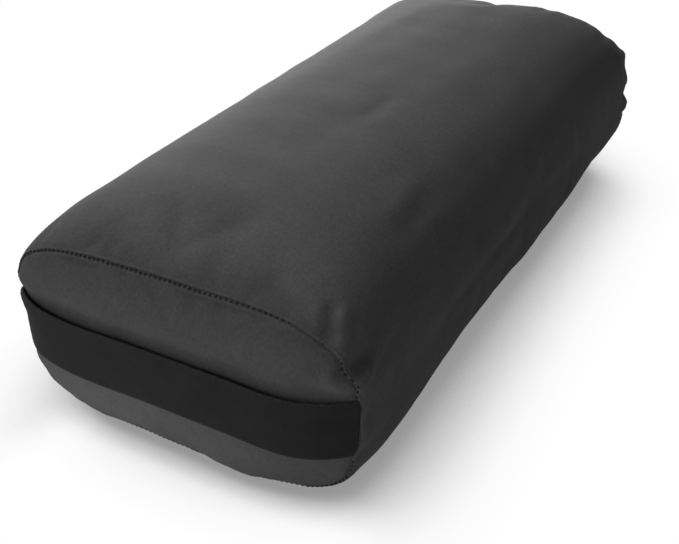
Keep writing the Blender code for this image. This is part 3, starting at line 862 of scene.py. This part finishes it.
def seam_stitches(name, end, look):
    """The lockstitches in the valley of an end seam, apart from where a handle is caught in it."""
    ring, out = seam_ring(end, PANEL_INSET - SEAM_STITCH_RISE)
    leaning = unit(out * 0.8 + np.array([0.0, end * 0.6, 0.0]))
    ring = close_ring(ring + leaning * 0.0002)
    shown = np.abs(ring[1::2, 2] - STRAP_HEIGHT + 0.0015) >= STRAP_WIDTH / 2 + 0.001
    run = (ring, close_ring(leaning), lengths_along(ring)[1::2][shown])
    stitches(name, [run], SEAM_STITCH, look)


def on_zip_side(rows, side, reach, depth=0.0):
    """A line along the zip side at a distance above or below the chain's middle."""
    return np.array([at_lengths(half_section(y, side, depth), [reach])[0] for y in rows])


def side_run(line, size):
    """A run of stitches along a line on the zip side."""
    return line, np.tile([-1.0, 0.0, 0.0], (len(line), 1)), paced(line, size[0])


def opening_stitches(look):
    """One line of topstitching all round the zip opening."""
    reach = OPENING_HALF_HEIGHT + TOPSTITCH_INSET
    half = OPENING_HALF_LENGTH + TOPSTITCH_INSET
    rows = np.linspace(-half, half, 200)
    ring = np.concatenate([on_zip_side(rows, 1, reach), on_zip_side(rows[::-1], -1, reach)])
    run = side_run(close_ring(ring + (0.00005, 0.0, 0.0)), TOPSTITCH)
    stitches("opening_topstitch", [run], TOPSTITCH, look)


def closing_stitches(look):
    """The stitches in the seam that closes the wrap between each end of the zip and the end panel."""
    runs = []
    for end in (-1, 1):
        rows = end * np.linspace(OPENING_HALF_LENGTH + 2 * TOPSTITCH_INSET, HALF_LENGTH - 0.002, 40)
        line = on_zip_side(rows, 1, 0.0)
        line[:, 0] -= relief(line) - 0.0003
        runs.append(side_run(line, CLOSING_STITCH))
    stitches("closing_seam_thread", runs, CLOSING_STITCH, look)


# Handles

def strap_profile():
    """The strap's cross section: across its width and through its thickness, with rolled selvedges."""
    half_width = STRAP_WIDTH / 2
    half = STRAP_THICKNESS / 2
    shares = np.linspace(-1.0, 1.0, 25)
    edge = smooth_step((np.abs(shares) - 0.86) / 0.05)
    outer = np.stack([shares * (half_width - half * SELVEDGE_ROUND), half * (0.8 + 0.2 * edge)], 1)
    angles = math.pi * np.arange(1, 4) / 4
    bulge = half_width - half * SELVEDGE_ROUND * (1.0 - np.sin(angles))
    rounding = np.stack([bulge, half * np.cos(angles)], 1)
    return np.concatenate([outer, rounding, -outer, -rounding])


def handle(node, end, look):
    """A flat webbing strap across an end, its ends turned into the side seams."""
    shares = np.sin(math.pi / 2 * np.linspace(-1.0, 1.0, 170))
    reach = (END_CROWN + STRAP_STAND_OFF) * (1 - np.abs(shares) ** STRAP_CROWN_POWER)
    y = end * (HALF_LENGTH + STRAP_GAP + STRAP_THICKNESS / 2 + reach)
    centre = np.stack([shares * (HALF_WIDTH - STRAP_SETBACK), y, np.full(len(y), STRAP_HEIGHT)], 1)
    outward = -end * unit(np.cross(unit(np.gradient(centre, axis=0)), (0.0, 0.0, 1.0)))
    profile = strap_profile()
    count = len(profile)
    across, through = np.tile(profile, (len(centre), 1)).T
    share = np.repeat(shares, count)
    vertices = np.repeat(centre, count, axis=0)
    vertices[:, 2] += across
    vertices += np.repeat(outward, count, axis=0) * through[:, None]
    seam = [np.sign(share) * HALF_WIDTH, np.full(len(share), end * HALF_LENGTH), vertices[:, 2]]
    vertices[:, 0] += np.sign(share) * relief(np.stack(seam, 1)) * np.abs(share) ** 3
    sag = lump(vertices * (1, 0, 0), (-end * STRAP_SAG_PLACE, 0.0, 0.0), STRAP_SAG_REACH, STRAP_SAG)
    sag += STRAP_WAVE * soft_noise(vertices * (1, 0, 0) + (0, end, 0), (0.12, 1.0, 1.0), 6)
    vertices[:, 2] -= sag * (1.0 - np.abs(share) ** 8)
    faces = grid_faces(len(centre), count, flip=end < 0) + end_caps(count, len(vertices), end < 0)
    uv = np.stack([np.repeat(lengths_along(centre), count), across], 1)
    wear = smooth_step((np.abs(across) / (STRAP_WIDTH / 2) - 0.88) / 0.1)
    made = mesh_from(f"{node}_webbing", vertices, faces, uv, {"wear": wear})
    finish_piece(made, look, [node])


# Zip

def tape(node, side, look):
    """A woven tape behind the opening's edge."""
    half = ZIP_HALF_LENGTH + TAPE_TAIL
    rows = graded(-half, half, 0.002, 0.006)
    reach = np.linspace(TAPE_INNER_EDGE, TAPE_INNER_EDGE + TAPE_WIDTH, 9)
    grid = np.array([at_lengths(half_section(y, side, TAPE_DEPTH), reach) for y in rows])
    uv = [(across, y) for y in rows for across in reach]
    faces = grid_faces(len(rows), len(reach), closed=False, flip=side > 0)
    made = mesh_from(f"{node}_cloth", grid.reshape(-1, 3), faces, uv)
    finish_piece(made, look, [node], thickness=TAPE_THICKNESS)


def tape_stitches(name, side, look):
    """Two lines of thread that hold a coil to its tape."""
    rows = np.linspace(-ZIP_HALF_LENGTH, ZIP_HALF_LENGTH, 120)
    lines = [on_zip_side(rows, side, reach, TAPE_DEPTH - 0.0002) for reach in TAPE_STITCH_LINES]
    stitches(name, [side_run(line, TAPE_STITCH) for line in lines], TAPE_STITCH, look)


def squared(values):
    return np.sign(values) * np.abs(values) ** COIL_SQUARENESS


def coil(name, node, side, shift, look):
    """One half of the zip's chain: a flattened helix of nylon whose loops reach past the middle."""
    turns = int(2 * (ZIP_HALF_LENGTH - COIL_END) / COIL_PITCH)
    angles = 2 * math.pi * np.arange(turns * COIL_STEPS + 1) / COIL_STEPS
    middle_up = side * (COIL_OUTER - COIL_REACH) / 2
    half_up = (COIL_OUTER + COIL_REACH) / 2 - COIL_WIRE
    half_out = (COIL_TOP + COIL_BASE) / 2 - COIL_WIRE
    x = -HALF_WIDTH - (COIL_TOP - COIL_BASE) / 2 - half_out * squared(np.sin(angles))
    y = -ZIP_HALF_LENGTH + COIL_END + shift + COIL_PITCH * angles / (2 * math.pi)
    z = ZIP_HEIGHT + middle_up - side * half_up * squared(np.cos(angles))
    finish_piece(tube(name, np.stack([x, y, z], 1), COIL_WIRE, 6), look, [node])


def tube(name, path, radius, sides):
    """A round tube along a path, closed at both ends."""
    tangent = unit(np.gradient(path, axis=0))
    first = unit(np.cross(tangent, np.array([0.0, 1.0, 0.0])) + 1e-9)
    second = np.cross(tangent, first)
    angles = [2 * math.pi * side / sides for side in range(sides)]
    lines = [path + radius * (math.cos(angle) * first + math.sin(angle) * second) for angle in angles]
    vertices = np.stack(lines, 1).reshape(-1, 3)
    return mesh_from(name, vertices, grid_faces(len(path), sides) + end_caps(sides, len(vertices)))


def metal_piece(node, body, look, worn):
    """A zip casting with rounded edges, where the lacquer has worn through."""
    made = new_object(f"{node}_metal", frame["nodes"][node].data.copy())
    modify(made, "DECIMATE", decimate_type="DISSOLVE", angle_limit=math.radians(1.0))
    modify(made, "BEVEL", width=METAL_EDGE, segments=2, limit_method="ANGLE",
           angle_limit=math.radians(35.0), material=1, use_clamp_overlap=True)
    made.data.materials.clear()
    made.data.materials.append(look)
    made.data.materials.append(worn)
    data = applied(made)
    data.polygons.foreach_set("use_smooth", [True] * len(data.polygons))
    data.set_sharp_from_angle(angle=math.radians(30.0))
    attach(made, body)
    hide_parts(node)


# Liner and filling

def tucked(points, extra):
    """How far an inner piece moves: with the filling, and in wherever the cover folds in."""
    return broad_relief(points) + 1.2 * np.minimum(fold_relief(points), 0.0) - extra


def liner_wrap(look):
    """The liner's long panel, with turned-in seams at both ends."""
    columns = ring_columns(LINER_EDGE, LINER_STEP, LINER_STEP)
    rows = graded(-LINER_HALF_LENGTH + SEAM_ROLL, LINER_HALF_LENGTH - SEAM_ROLL, 0.002, 0.0065)
    grid = np.array([section_ring(y, columns, LINER_DEPTH, LINER_NARROWING) for y in rows])
    flat = grid.reshape(-1, 3)
    crumpled = LINER_SLACK * (1 + soft_noise(flat, (0.03, 0.04, 0.03), 31))
    grid = pushed_out(grid, tucked(flat, LINER_SLACK) - crumpled)
    grid[:, :, 2] = np.maximum(grid[:, :, 2], LINER_LOWEST)
    all_rows, _ = with_turned_edges(grid)
    around = ring_lengths(0.0, columns)
    uv = [(across, y) for ring in all_rows for across, y in zip(around, ring[:, 1])]
    faces = grid_faces(len(all_rows), grid.shape[1])
    turns = np.full(len(uv), around[-1])
    made = mesh_from("liner_wrap_cloth", all_rows.reshape(-1, 3), faces, uv, turns=turns)
    finish_piece(made, look, ["liner_wrap"], LINER_CLOTH)


def liner_panel(node, end, look):
    """An end panel of the liner."""
    columns = ring_columns(LINER_EDGE, LINER_STEP, LINER_STEP)
    shares = 1.0 - graded(0.0, 0.97, 0.015, 0.045, fine_end=False)
    form = LINER_HALF_LENGTH, LINER_PANEL_DEPTH, LINER_NARROWING
    grid, middle = panel_rows(end, *form, columns, shares)
    moved = np.minimum(tucked(grid.reshape(-1, 3), INNER_CLEARANCE), 0.0)
    rim_moved = np.minimum(tucked(grid[0], 0.0), 0.0)
    out = unit((grid[0] - middle) * (1, 0, 1))
    grid = pushed_out(grid, moved) + out * rim_moved[:, None] * (shares**3)[:, None, None]
    sunk = min(tucked(middle[None, :], INNER_CLEARANCE)[0], 0.0)
    tip = [[middle[0], end * (LINER_HALF_LENGTH + END_CROWN + sunk), middle[2]]]
    made = panel_mesh(f"{node}_cloth", grid, tip, end)
    finish_piece(made, look, [node], LINER_CLOTH)


def batting_layer(number, look):
    """A puffed layer of needled cotton inside the room of its solid."""
    node = f"batting_layer_{number}"
    made = new_object(f"{node}_fill", frame["nodes"][node].data.copy())
    modify(made, "REMESH", mode="VOXEL", voxel_size=BATTING_CELL, use_smooth_shade=True)
    modify(made, "SMOOTH", iterations=6, factor=0.5)
    data = applied(made)
    points = vertex_vectors(data, "co")
    tufts = soft_noise(points, (0.02, 0.024, 0.014), 20 + number)
    sunk = np.minimum(tucked(points, INNER_CLEARANCE), -0.0002) - BATTING_TUFT * (1 + tufts)
    data.vertices.foreach_set("co", (points + vertex_vectors(data, "normal") * sunk[:, None]).ravel())
    data.update()
    finish_piece(made, look, [node])


# Materials

class Nodes:
    """A node tree whose nodes are added by short calls."""

    def __init__(self, tree):
        self.tree = tree

    def feed(self, socket, value):
        if isinstance(value, bpy.types.NodeSocket):
            self.tree.links.new(value, socket)
        else:
            socket.default_value = value

    def node(self, kind, inputs=None, **settings):
        """A node with its settings, and its inputs by name or number."""
        made = self.tree.nodes.new(kind)
        for name, value in settings.items():
            setattr(made, name, value)
        for socket, value in (inputs or {}).items():
            self.feed(made.inputs[socket], value)
        return made

    def math(self, operation, first, second=0.0):
        return self.node("ShaderNodeMath", {0: first, 1: second}, operation=operation).outputs[0]

    def place(self):
        return self.node("ShaderNodeTexCoord").outputs["Object"]

    def mark(self, name):
        return self.node("ShaderNodeAttribute", attribute_name=name).outputs["Fac"]

    def noise(self, vector, scale, detail=3.0, roughness=0.5, output="Fac"):
        inputs = {"Vector": vector, "Scale": scale, "Detail": detail, "Roughness": roughness}
        return self.node("ShaderNodeTexNoise", inputs).outputs[output]

    def stretched(self, vector, scale):
        return self.node("ShaderNodeMapping", {"Vector": vector, "Scale": scale}).outputs[0]

    def ramp(self, value, stops):
        made = self.node("ShaderNodeValToRGB", {0: value})
        elements = made.color_ramp.elements
        while len(elements) < len(stops):
            elements.new(0.5)
        for element, (position, level) in zip(elements, stops):
            element.position = position
            element.color = (*level, 1.0) if isinstance(level, tuple) else (level, level, level, 1.0)
        return made.outputs[0]

    def mix(self, share, first, second, blend="MIX"):
        inputs = {"Factor": share, 6: first, 7: second}
        return self.node("ShaderNodeMix", inputs, data_type="RGBA", blend_type=blend).outputs[2]

    def bump(self, height, distance, strength=1.0, below=None):
        inputs = {"Distance": distance, "Strength": strength, "Height": height}
        if below is not None:
            inputs["Normal"] = below
        return self.node("ShaderNodeBump", inputs).outputs[0]

    def eased(self, value, start, end):
        """0 up to the start of a range and 1 past its end, with a soft step between them."""
        inputs = {"Value": value, "From Min": start, "From Max": end}
        return self.node("ShaderNodeMapRange", inputs, interpolation_type="SMOOTHSTEP").outputs[0]

    def sine(self, value, pitch):
        """A sine wave along a coordinate in metres, from -1 to 1."""
        return self.math("SINE", self.math("MULTIPLY", value, 2 * math.pi / pitch))

    def blend(self, *parts):
        """A sum of values, each with its share."""
        total = self.math("MULTIPLY", *parts[0])
        for part in parts[1:]:
            total = self.math("ADD", total, self.math("MULTIPLY", *part))
        return total

    def product(self, first, *others):
        for other in others:
            first = self.math("MULTIPLY", first, other)
        return first

    def plain_weave(self, across, along, pitch_across, pitch_along, weft=0.6):
        """Heights of threads that pass over and under each other."""
        crossing = self.product(self.sine(across, 2 * pitch_across), self.sine(along, 2 * pitch_along))
        return self.math("MAXIMUM", crossing, self.math("MULTIPLY", crossing, -weft))

    def seen_directly(self):
        """1 for rays from the camera, also by mirror or glass, and 0 for those that bring light."""
        rays = self.node("ShaderNodeLightPath").outputs
        seen = self.math("MAXIMUM", rays["Is Camera Ray"], rays["Is Glossy Ray"])
        return self.math("MAXIMUM", seen, rays["Is Transmission Ray"])


class Look(Nodes):
    """A material with one shader."""

    def __init__(self, name, colour, roughness, specular=0.5):
        self.material = bpy.data.materials.new(name)
        self.material.use_nodes = True
        super().__init__(self.material.node_tree)
        self.shader = self.tree.nodes["Principled BSDF"]
        self.set("Base Color", (*colour, 1.0))
        self.set("Roughness", roughness)
        self.set("Specular IOR Level", specular)

    def set(self, socket, value):
        self.feed(self.shader.inputs[socket], value)

    def cloth_axes(self):
        """The cloth's own coordinates in metres, and each of its two thread directions."""
        uv = self.node("ShaderNodeUVMap", uv_map="cloth").outputs[0]
        split = self.node("ShaderNodeSeparateXYZ", {0: uv})
        return uv, split.outputs[0], split.outputs[1]


def dark(level, blue=0.001):
    """A dark grey with a little more blue."""
    return level, level, level + blue


def cotton_look():
    """Dense charcoal cotton twill: faint sheen, mottled dye, lint, rubbed seams, and folds with painted
    shade and light.
    """
    look = Look("charcoal_cotton_twill", dark(0.058, 0.002), 0.8, specular=0.01)
    uv, across, along = look.cloth_axes()
    place = look.place()
    mottle = look.noise(place, 420.0, 3.0, 0.6)
    cloud = look.noise(place, 38.0, 4.0, 0.55)
    slub = look.noise(look.stretched(uv, (2600.0, 160.0, 1.0)), 1.0, 2.0)
    shade = look.blend((mottle, 0.6), (cloud, 0.25), (slub, 0.3))
    stops = [(0.38, dark(0.047, 0.002)), (0.57, dark(0.058, 0.002)), (0.76, dark(0.07, 0.002))]
    colour = look.ramp(shade, stops)
    rubbed = look.product(look.mark("wear"), look.ramp(mottle, [(0.42, 0.0), (0.62, 0.12)]))
    colour = look.mix(rubbed, colour, (0.092, 0.091, 0.092, 1.0))
    # Painted shade darkens the fold valleys and painted light brightens their ridges, by each fold's
    # height
    fold_shade_level = look.blend((look.mark("fold_shade"), 0.2), (1.0, 0.5))
    painted_fold_shade = look.ramp(fold_shade_level, [(0.2, 0.86), (0.5, 1.0), (0.8, 1.1)])
    colour = look.mix(1.0, colour, painted_fold_shade, "MULTIPLY")
    lint = look.ramp(look.noise(place, 900.0, 1.0, 0.4), [(0.765, 0.0), (0.8, 0.5)])
    look.set("Base Color", look.mix(lint, colour, (0.17, 0.17, 0.17, 1.0)))
    look.set("Roughness", look.ramp(mottle, [(0.3, 0.74), (0.7, 0.88)]))
    look.set("Sheen Weight", 0.015)
    look.set("Sheen Roughness", 0.45)
    diagonal = look.sine(look.math("ADD", across, along), 0.0009)
    thread = look.sine(look.math("SUBTRACT", across, along), 0.00055)
    weave = look.bump(look.blend((diagonal, 0.35), (thread, 0.15)), 0.00006, 0.5)
    grain = look.bump(look.noise(place, 330.0, 4.0, 0.65), 0.0003, 0.35, weave)
    look.set("Normal", look.bump(look.noise(place, 75.0, 4.0, 0.55), 0.0014, 0.2, grain))
    return look.material


def webbing_look():
    """Black cotton webbing: heavy warp cords along the strap, weft ribs across it and firm edges."""
    look = Look("black_webbing", dark(0.017), 0.78, specular=0.05)
    _, along, across = look.cloth_axes()
    place = look.place()
    weave = look.plain_weave(across, along, 0.0011, 0.0019)
    rib = look.sine(along, 0.0019)
    fuzz = look.noise(place, 800.0, 3.0, 0.6)
    shade = look.blend((weave, 0.35), (fuzz, 0.6), (look.noise(place, 45.0), 0.35))
    colour = look.ramp(shade, [(0.3, dark(0.008)), (0.6, dark(0.013)), (0.9, dark(0.022))])
    rubbed = look.product(look.mark("wear"), look.ramp(fuzz, [(0.45, 0.0), (0.65, 0.5)]))
    look.set("Base Color", look.mix(rubbed, colour, (0.05, 0.05, 0.05, 1.0)))
    look.set("Roughness", look.ramp(fuzz, [(0.3, 0.72), (0.7, 0.88)]))
    woven = look.bump(look.blend((weave, 0.8), (rib, 0.2)), 0.00022, 0.8)
    look.set("Normal", look.bump(fuzz, 0.0002, 0.35, woven))
    return look.material


def thread_look():
    """Twisted black polyester thread."""
    look = Look("black_thread", (0.006, 0.006, 0.006), 0.7, specular=0.1)
    strands = look.noise(look.stretched(look.place(), (1500.0, 5000.0, 1500.0)), 1.0, 2.0)
    look.set("Base Color", look.ramp(strands, [(0.35, 0.006), (0.7, 0.0132)]))
    look.set("Normal", look.bump(strands, 0.0001, 0.8))
    return look.material


def tape_look():
    """Herringbone zip tape."""
    look = Look("black_zip_tape", dark(0.02), 0.8, specular=0.15)
    _, across, along = look.cloth_axes()
    zigzag = look.math("PINGPONG", across, 0.0016)
    bones = look.sine(look.math("ADD", look.math("MULTIPLY", zigzag, 1.4), along), 0.0008)
    threads = look.sine(across, 0.0004)
    fuzz = look.noise(look.place(), 900.0, 3.0, 0.6)
    shade = look.blend((bones, 0.12), (threads, 0.06), (fuzz, 0.9))
    look.set("Base Color", look.ramp(shade, [(0.3, dark(0.012)), (0.65, dark(0.03))]))
    look.set("Normal", look.bump(look.blend((bones, 0.5), (threads, 0.25)), 0.00012, 0.8))
    return look.material


def nylon_look():
    """Black nylon monofilament, smooth with a few dull rubs."""
    look = Look("black_nylon", dark(0.014), 0.3)
    place = look.place()
    rubs = look.noise(look.stretched(place, (300.0, 90.0, 300.0)), 1.0, 3.0)
    look.set("Base Color", look.ramp(rubs, [(0.4, dark(0.012)), (0.75, dark(0.032))]))
    look.set("Roughness", look.ramp(rubs, [(0.35, 0.24), (0.7, 0.46)]))
    look.set("Normal", look.bump(look.noise(place, 2500.0, 2.0), 0.00004, 0.3))
    return look.material


def lacquer_look():
    """Black stoved lacquer on a zinc casting: orange peel, pits and fine scratches to bare metal."""
    look = Look("black_lacquered_zinc", dark(0.02), 0.32, specular=0.4)
    place = look.place()
    peel = look.noise(place, 900.0, 3.0, 0.55)
    pits = look.ramp(look.noise(place, 2600.0, 1.0, 0.4), [(0.68, 0.0), (0.76, 1.0)])
    scratches = look.noise(look.stretched(place, (4200.0, 220.0, 3600.0)), 1.0, 2.0)
    scratched = look.ramp(scratches, [(0.66, 0.0), (0.72, 0.5)])
    colour = look.ramp(peel, [(0.35, dark(0.016)), (0.7, dark(0.032, 0.002))])
    look.set("Base Color", look.mix(scratched, colour, (0.30, 0.295, 0.28, 1.0)))
    look.set("Roughness", look.ramp(peel, [(0.35, 0.2), (0.7, 0.44)]))
    look.set("Metallic", scratched)
    height = look.blend((peel, 0.6), (pits, -0.8), (scratched, -0.5))
    look.set("Normal", look.bump(height, 0.00008, 0.5))
    return look.material


def worn_edge_look():
    """Edges of the casting, where the lacquer is rubbed down to the zinc in places."""
    look = Look("rubbed_zinc_edge", (0.10, 0.10, 0.10), 0.34)
    place = look.place()
    bare = look.ramp(look.noise(place, 700.0, 4.0, 0.6), [(0.38, 0.0), (0.5, 1.0)])
    look.set("Base Color", look.mix(bare, (*dark(0.03), 1.0), (0.55, 0.54, 0.51, 1.0)))
    look.set("Metallic", bare)
    look.set("Roughness", look.ramp(look.noise(place, 2000.0), [(0.3, 0.26), (0.7, 0.44)]))
    return look.material


def muslin_look():
    """Unbleached muslin: an open plain weave with slubs and seed flecks."""
    look = Look("unbleached_muslin", (0.72, 0.69, 0.61), 0.9, specular=0.1)
    uv, across, along = look.cloth_axes()
    place = look.place()
    weave = look.plain_weave(across, along, 0.0006, 0.00065, weft=0.9)
    warp_slub = look.noise(look.stretched(uv, (1500.0, 60.0, 1.0)), 1.0, 2.0)
    weft_slub = look.noise(look.stretched(uv, (60.0, 1500.0, 1.0)), 1.0, 2.0)
    cloud = look.noise(place, 25.0)
    shade = look.blend((weave, 0.18), (warp_slub, 0.4), (weft_slub, 0.4), (cloud, 0.2))
    stops = [(0.32, (0.60, 0.565, 0.48)), (0.5, (0.71, 0.68, 0.60)), (0.72, (0.79, 0.765, 0.69))]
    flecks = look.noise(look.stretched(place, (340.0, 200.0, 340.0)), 1.0, 1.0)
    fleck = look.ramp(flecks, [(0.77, 0.0), (0.8, 0.7)])
    look.set("Base Color", look.mix(fleck, look.ramp(shade, stops), (0.28, 0.19, 0.10, 1.0)))
    threads = look.bump(look.blend((weave, 0.5), (warp_slub, 0.3), (weft_slub, 0.3)), 0.00016, 0.7)
    look.set("Normal", look.bump(look.noise(place, 60.0, 4.0, 0.6), 0.0012, 0.4, threads))
    return look.material


def batting_look():
    """Needled cotton: matted fibres, denser tufts and a few brown seed specks."""
    look = Look("cotton_batting", (0.82, 0.80, 0.74), 1.0, specular=0.05)
    place = look.place()
    swirl = look.stretched(look.noise(place, 70.0, 2.0, output="Color"), (9.0, 9.0, 9.0))
    inputs = {0: look.stretched(place, (240.0, 240.0, 240.0)), 1: swirl}
    twisted = look.node("ShaderNodeVectorMath", inputs, operation="ADD").outputs[0]
    fibres = look.noise(look.stretched(twisted, (1.0, 6.0, 1.0)), 1.0, 6.0, 0.65)
    crossing = look.noise(look.stretched(twisted, (6.0, 1.0, 1.0)), 1.0, 6.0, 0.65)
    mat = look.math("MAXIMUM", fibres, crossing)
    stops = [(0.4, (0.66, 0.63, 0.55)), (0.55, (0.80, 0.78, 0.71)), (0.7, (0.88, 0.87, 0.82))]
    colour = look.ramp(mat, stops)
    seed = look.ramp(look.noise(place, 260.0, 1.0), [(0.78, 0.0), (0.81, 0.8)])
    look.set("Base Color", look.mix(seed, colour, (0.22, 0.14, 0.07, 1.0)))
    look.set("Normal", look.bump(mat, 0.0012, 0.8))
    look.set("Sheen Weight", 0.15)
    return look.material


# Stage, camera and light

def camera():
    azimuth = math.radians(VIEW_AZIMUTH)
    elevation = math.radians(VIEW_ELEVATION)
    roll = math.radians(VIEW_ROLL)
    flat = math.cos(elevation)
    back = Vector((math.sin(azimuth) * flat, -math.cos(azimuth) * flat, math.sin(elevation)))
    level = Vector((math.cos(azimuth), math.sin(azimuth), 0.0))
    above = back.cross(level)
    right = level * math.cos(roll) + above * math.sin(roll)
    up = above * math.cos(roll) - level * math.sin(roll)
    data = bpy.data.cameras.new("camera")
    data.sensor_width = SENSOR_WIDTH
    data.lens = FOCAL_PIXELS * SENSOR_WIDTH / IMAGE_WIDTH
    data.clip_start = 0.01
    made = new_object("camera", data)
    turned = Matrix((right, up, back)).transposed().to_4x4()
    made.matrix_world = Matrix.Translation(Vector(VIEW_TARGET) + back * VIEW_DISTANCE) @ turned
    bpy.context.scene.camera = made


def floor():
    """A pale floor that shows white where it is seen, apart from the bolster's shadow, which is painted
    into its glow.
    """
    size = FLOOR_HALF_SIZE
    corners = [(-size, -size, 0), (size, -size, 0), (size, size, 0), (-size, size, 0)]
    made = mesh_from("floor", corners, [(0, 1, 2, 3)])
    look = Look("white_floor", (0.7, 0.7, 0.7), 0.9, specular=0.0)
    seen = look.seen_directly()
    sky = look.node("ShaderNodeAmbientOcclusion", {"Distance": SHADOW_REACH}, samples=32).outputs["AO"]
    split = look.node("ShaderNodeSeparateXYZ", {0: look.place()})
    across, along = split.outputs[0], split.outputs[1]
    # Painted light in front of the bolster, and painted shade on the left by the front left corner
    painted_light_in_front = look.product(look.eased(along, -0.29, -0.35), look.eased(across, -0.16, -0.10),
                            look.eased(across, 0.20, 0.12))
    painted_shade_by_corner = look.product(look.eased(across, -0.06, -0.12), look.eased(across, -0.10, -0.16))
    sky_for_painted_shadow = look.blend((sky, 1.0), (painted_light_in_front, PAINTED_LIGHT_IN_FRONT), (painted_shade_by_corner, PAINTED_SHADE_BY_CORNER))
    look.set("Emission Color", (1, 1, 1, 1))
    # What the camera sees is glow alone, dimmed by the ramp into the painted shadow
    look.set("Emission Strength", look.product(seen, look.ramp(sky_for_painted_shadow, FLOOR_SHADES)))
    look.set("Base Color", look.mix(seen, (0.7, 0.7, 0.7, 1.0), (0.0, 0.0, 0.0, 1.0)))
    made.data.materials.append(look.material)


def world():
    """A sky that shows white where it is seen, and lights the scene only faintly."""
    made = bpy.data.worlds.new("studio")
    bpy.context.scene.world = made
    made.use_nodes = True
    nodes = Nodes(made.node_tree)
    inputs = {"Value": nodes.seen_directly(), "To Min": 0.1, "To Max": 1.0}
    strength = nodes.node("ShaderNodeMapRange", inputs).outputs[0]
    background = made.node_tree.nodes["Background"]
    nodes.feed(background.inputs["Color"], (1, 1, 1, 1))
    nodes.feed(background.inputs["Strength"], strength)


def lamps():
    for name, place, aim, size, watts in LAMPS:
        data = bpy.data.lights.new(name, "AREA")
        data.shape = "RECTANGLE"
        data.size, data.size_y = size
        data.energy = watts
        made = new_object(name, data)
        made.location = place
        made.rotation_euler = (Vector(place) - Vector(aim)).to_track_quat("Z", "Y").to_euler()
        if name == BOUNCE:
            made.visible_camera = False
            made.visible_glossy = False


bpy.context.scene.view_settings.view_transform = "Standard"
for old in list(bpy.data.objects):
    bpy.data.objects.remove(old, do_unlink=True)
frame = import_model()

camera()
floor()
world()
lamps()
simulated = settle_folds()

cotton = cotton_look()
webbing = webbing_look()
thread = thread_look()
tape_cloth = tape_look()
nylon = nylon_look()
lacquer = lacquer_look()
worn_edge = worn_edge_look()
muslin = muslin_look()
fibre = batting_look()

cover_wrap(cotton)
for end_name, end in (("front", -1), ("rear", 1)):
    cover_panel(f"cover_end_{end_name}", end, cotton)
    seam_stitches(f"seam_thread_{end_name}", end, thread)
    handle(f"handle_{end_name}", end, webbing)
    liner_panel(f"liner_end_{end_name}", end, muslin)
opening_stitches(thread)
closing_stitches(thread)
for side_name, side, shift in (("upper", 1, 0.0), ("lower", -1, COIL_PITCH / 2)):
    tape(f"zip_tape_{side_name}", side, tape_cloth)
    tape_stitches(f"zip_tape_{side_name}_thread", side, thread)
    coil(f"zip_coil_{side_name}", f"zip_teeth_{side_name}", side, shift, nylon)
    metal_piece(f"zip_top_stop_{side_name}", BODY, lacquer, worn_edge)
metal_piece("zip_bottom_stop", BODY, lacquer, worn_edge)
metal_piece("zip_slider", "slider", lacquer, worn_edge)
metal_piece("zip_pull_tab", "pull_tab", lacquer, worn_edge)
liner_wrap(muslin)
for number in range(1, 6):
    batting_layer(number, fibre)
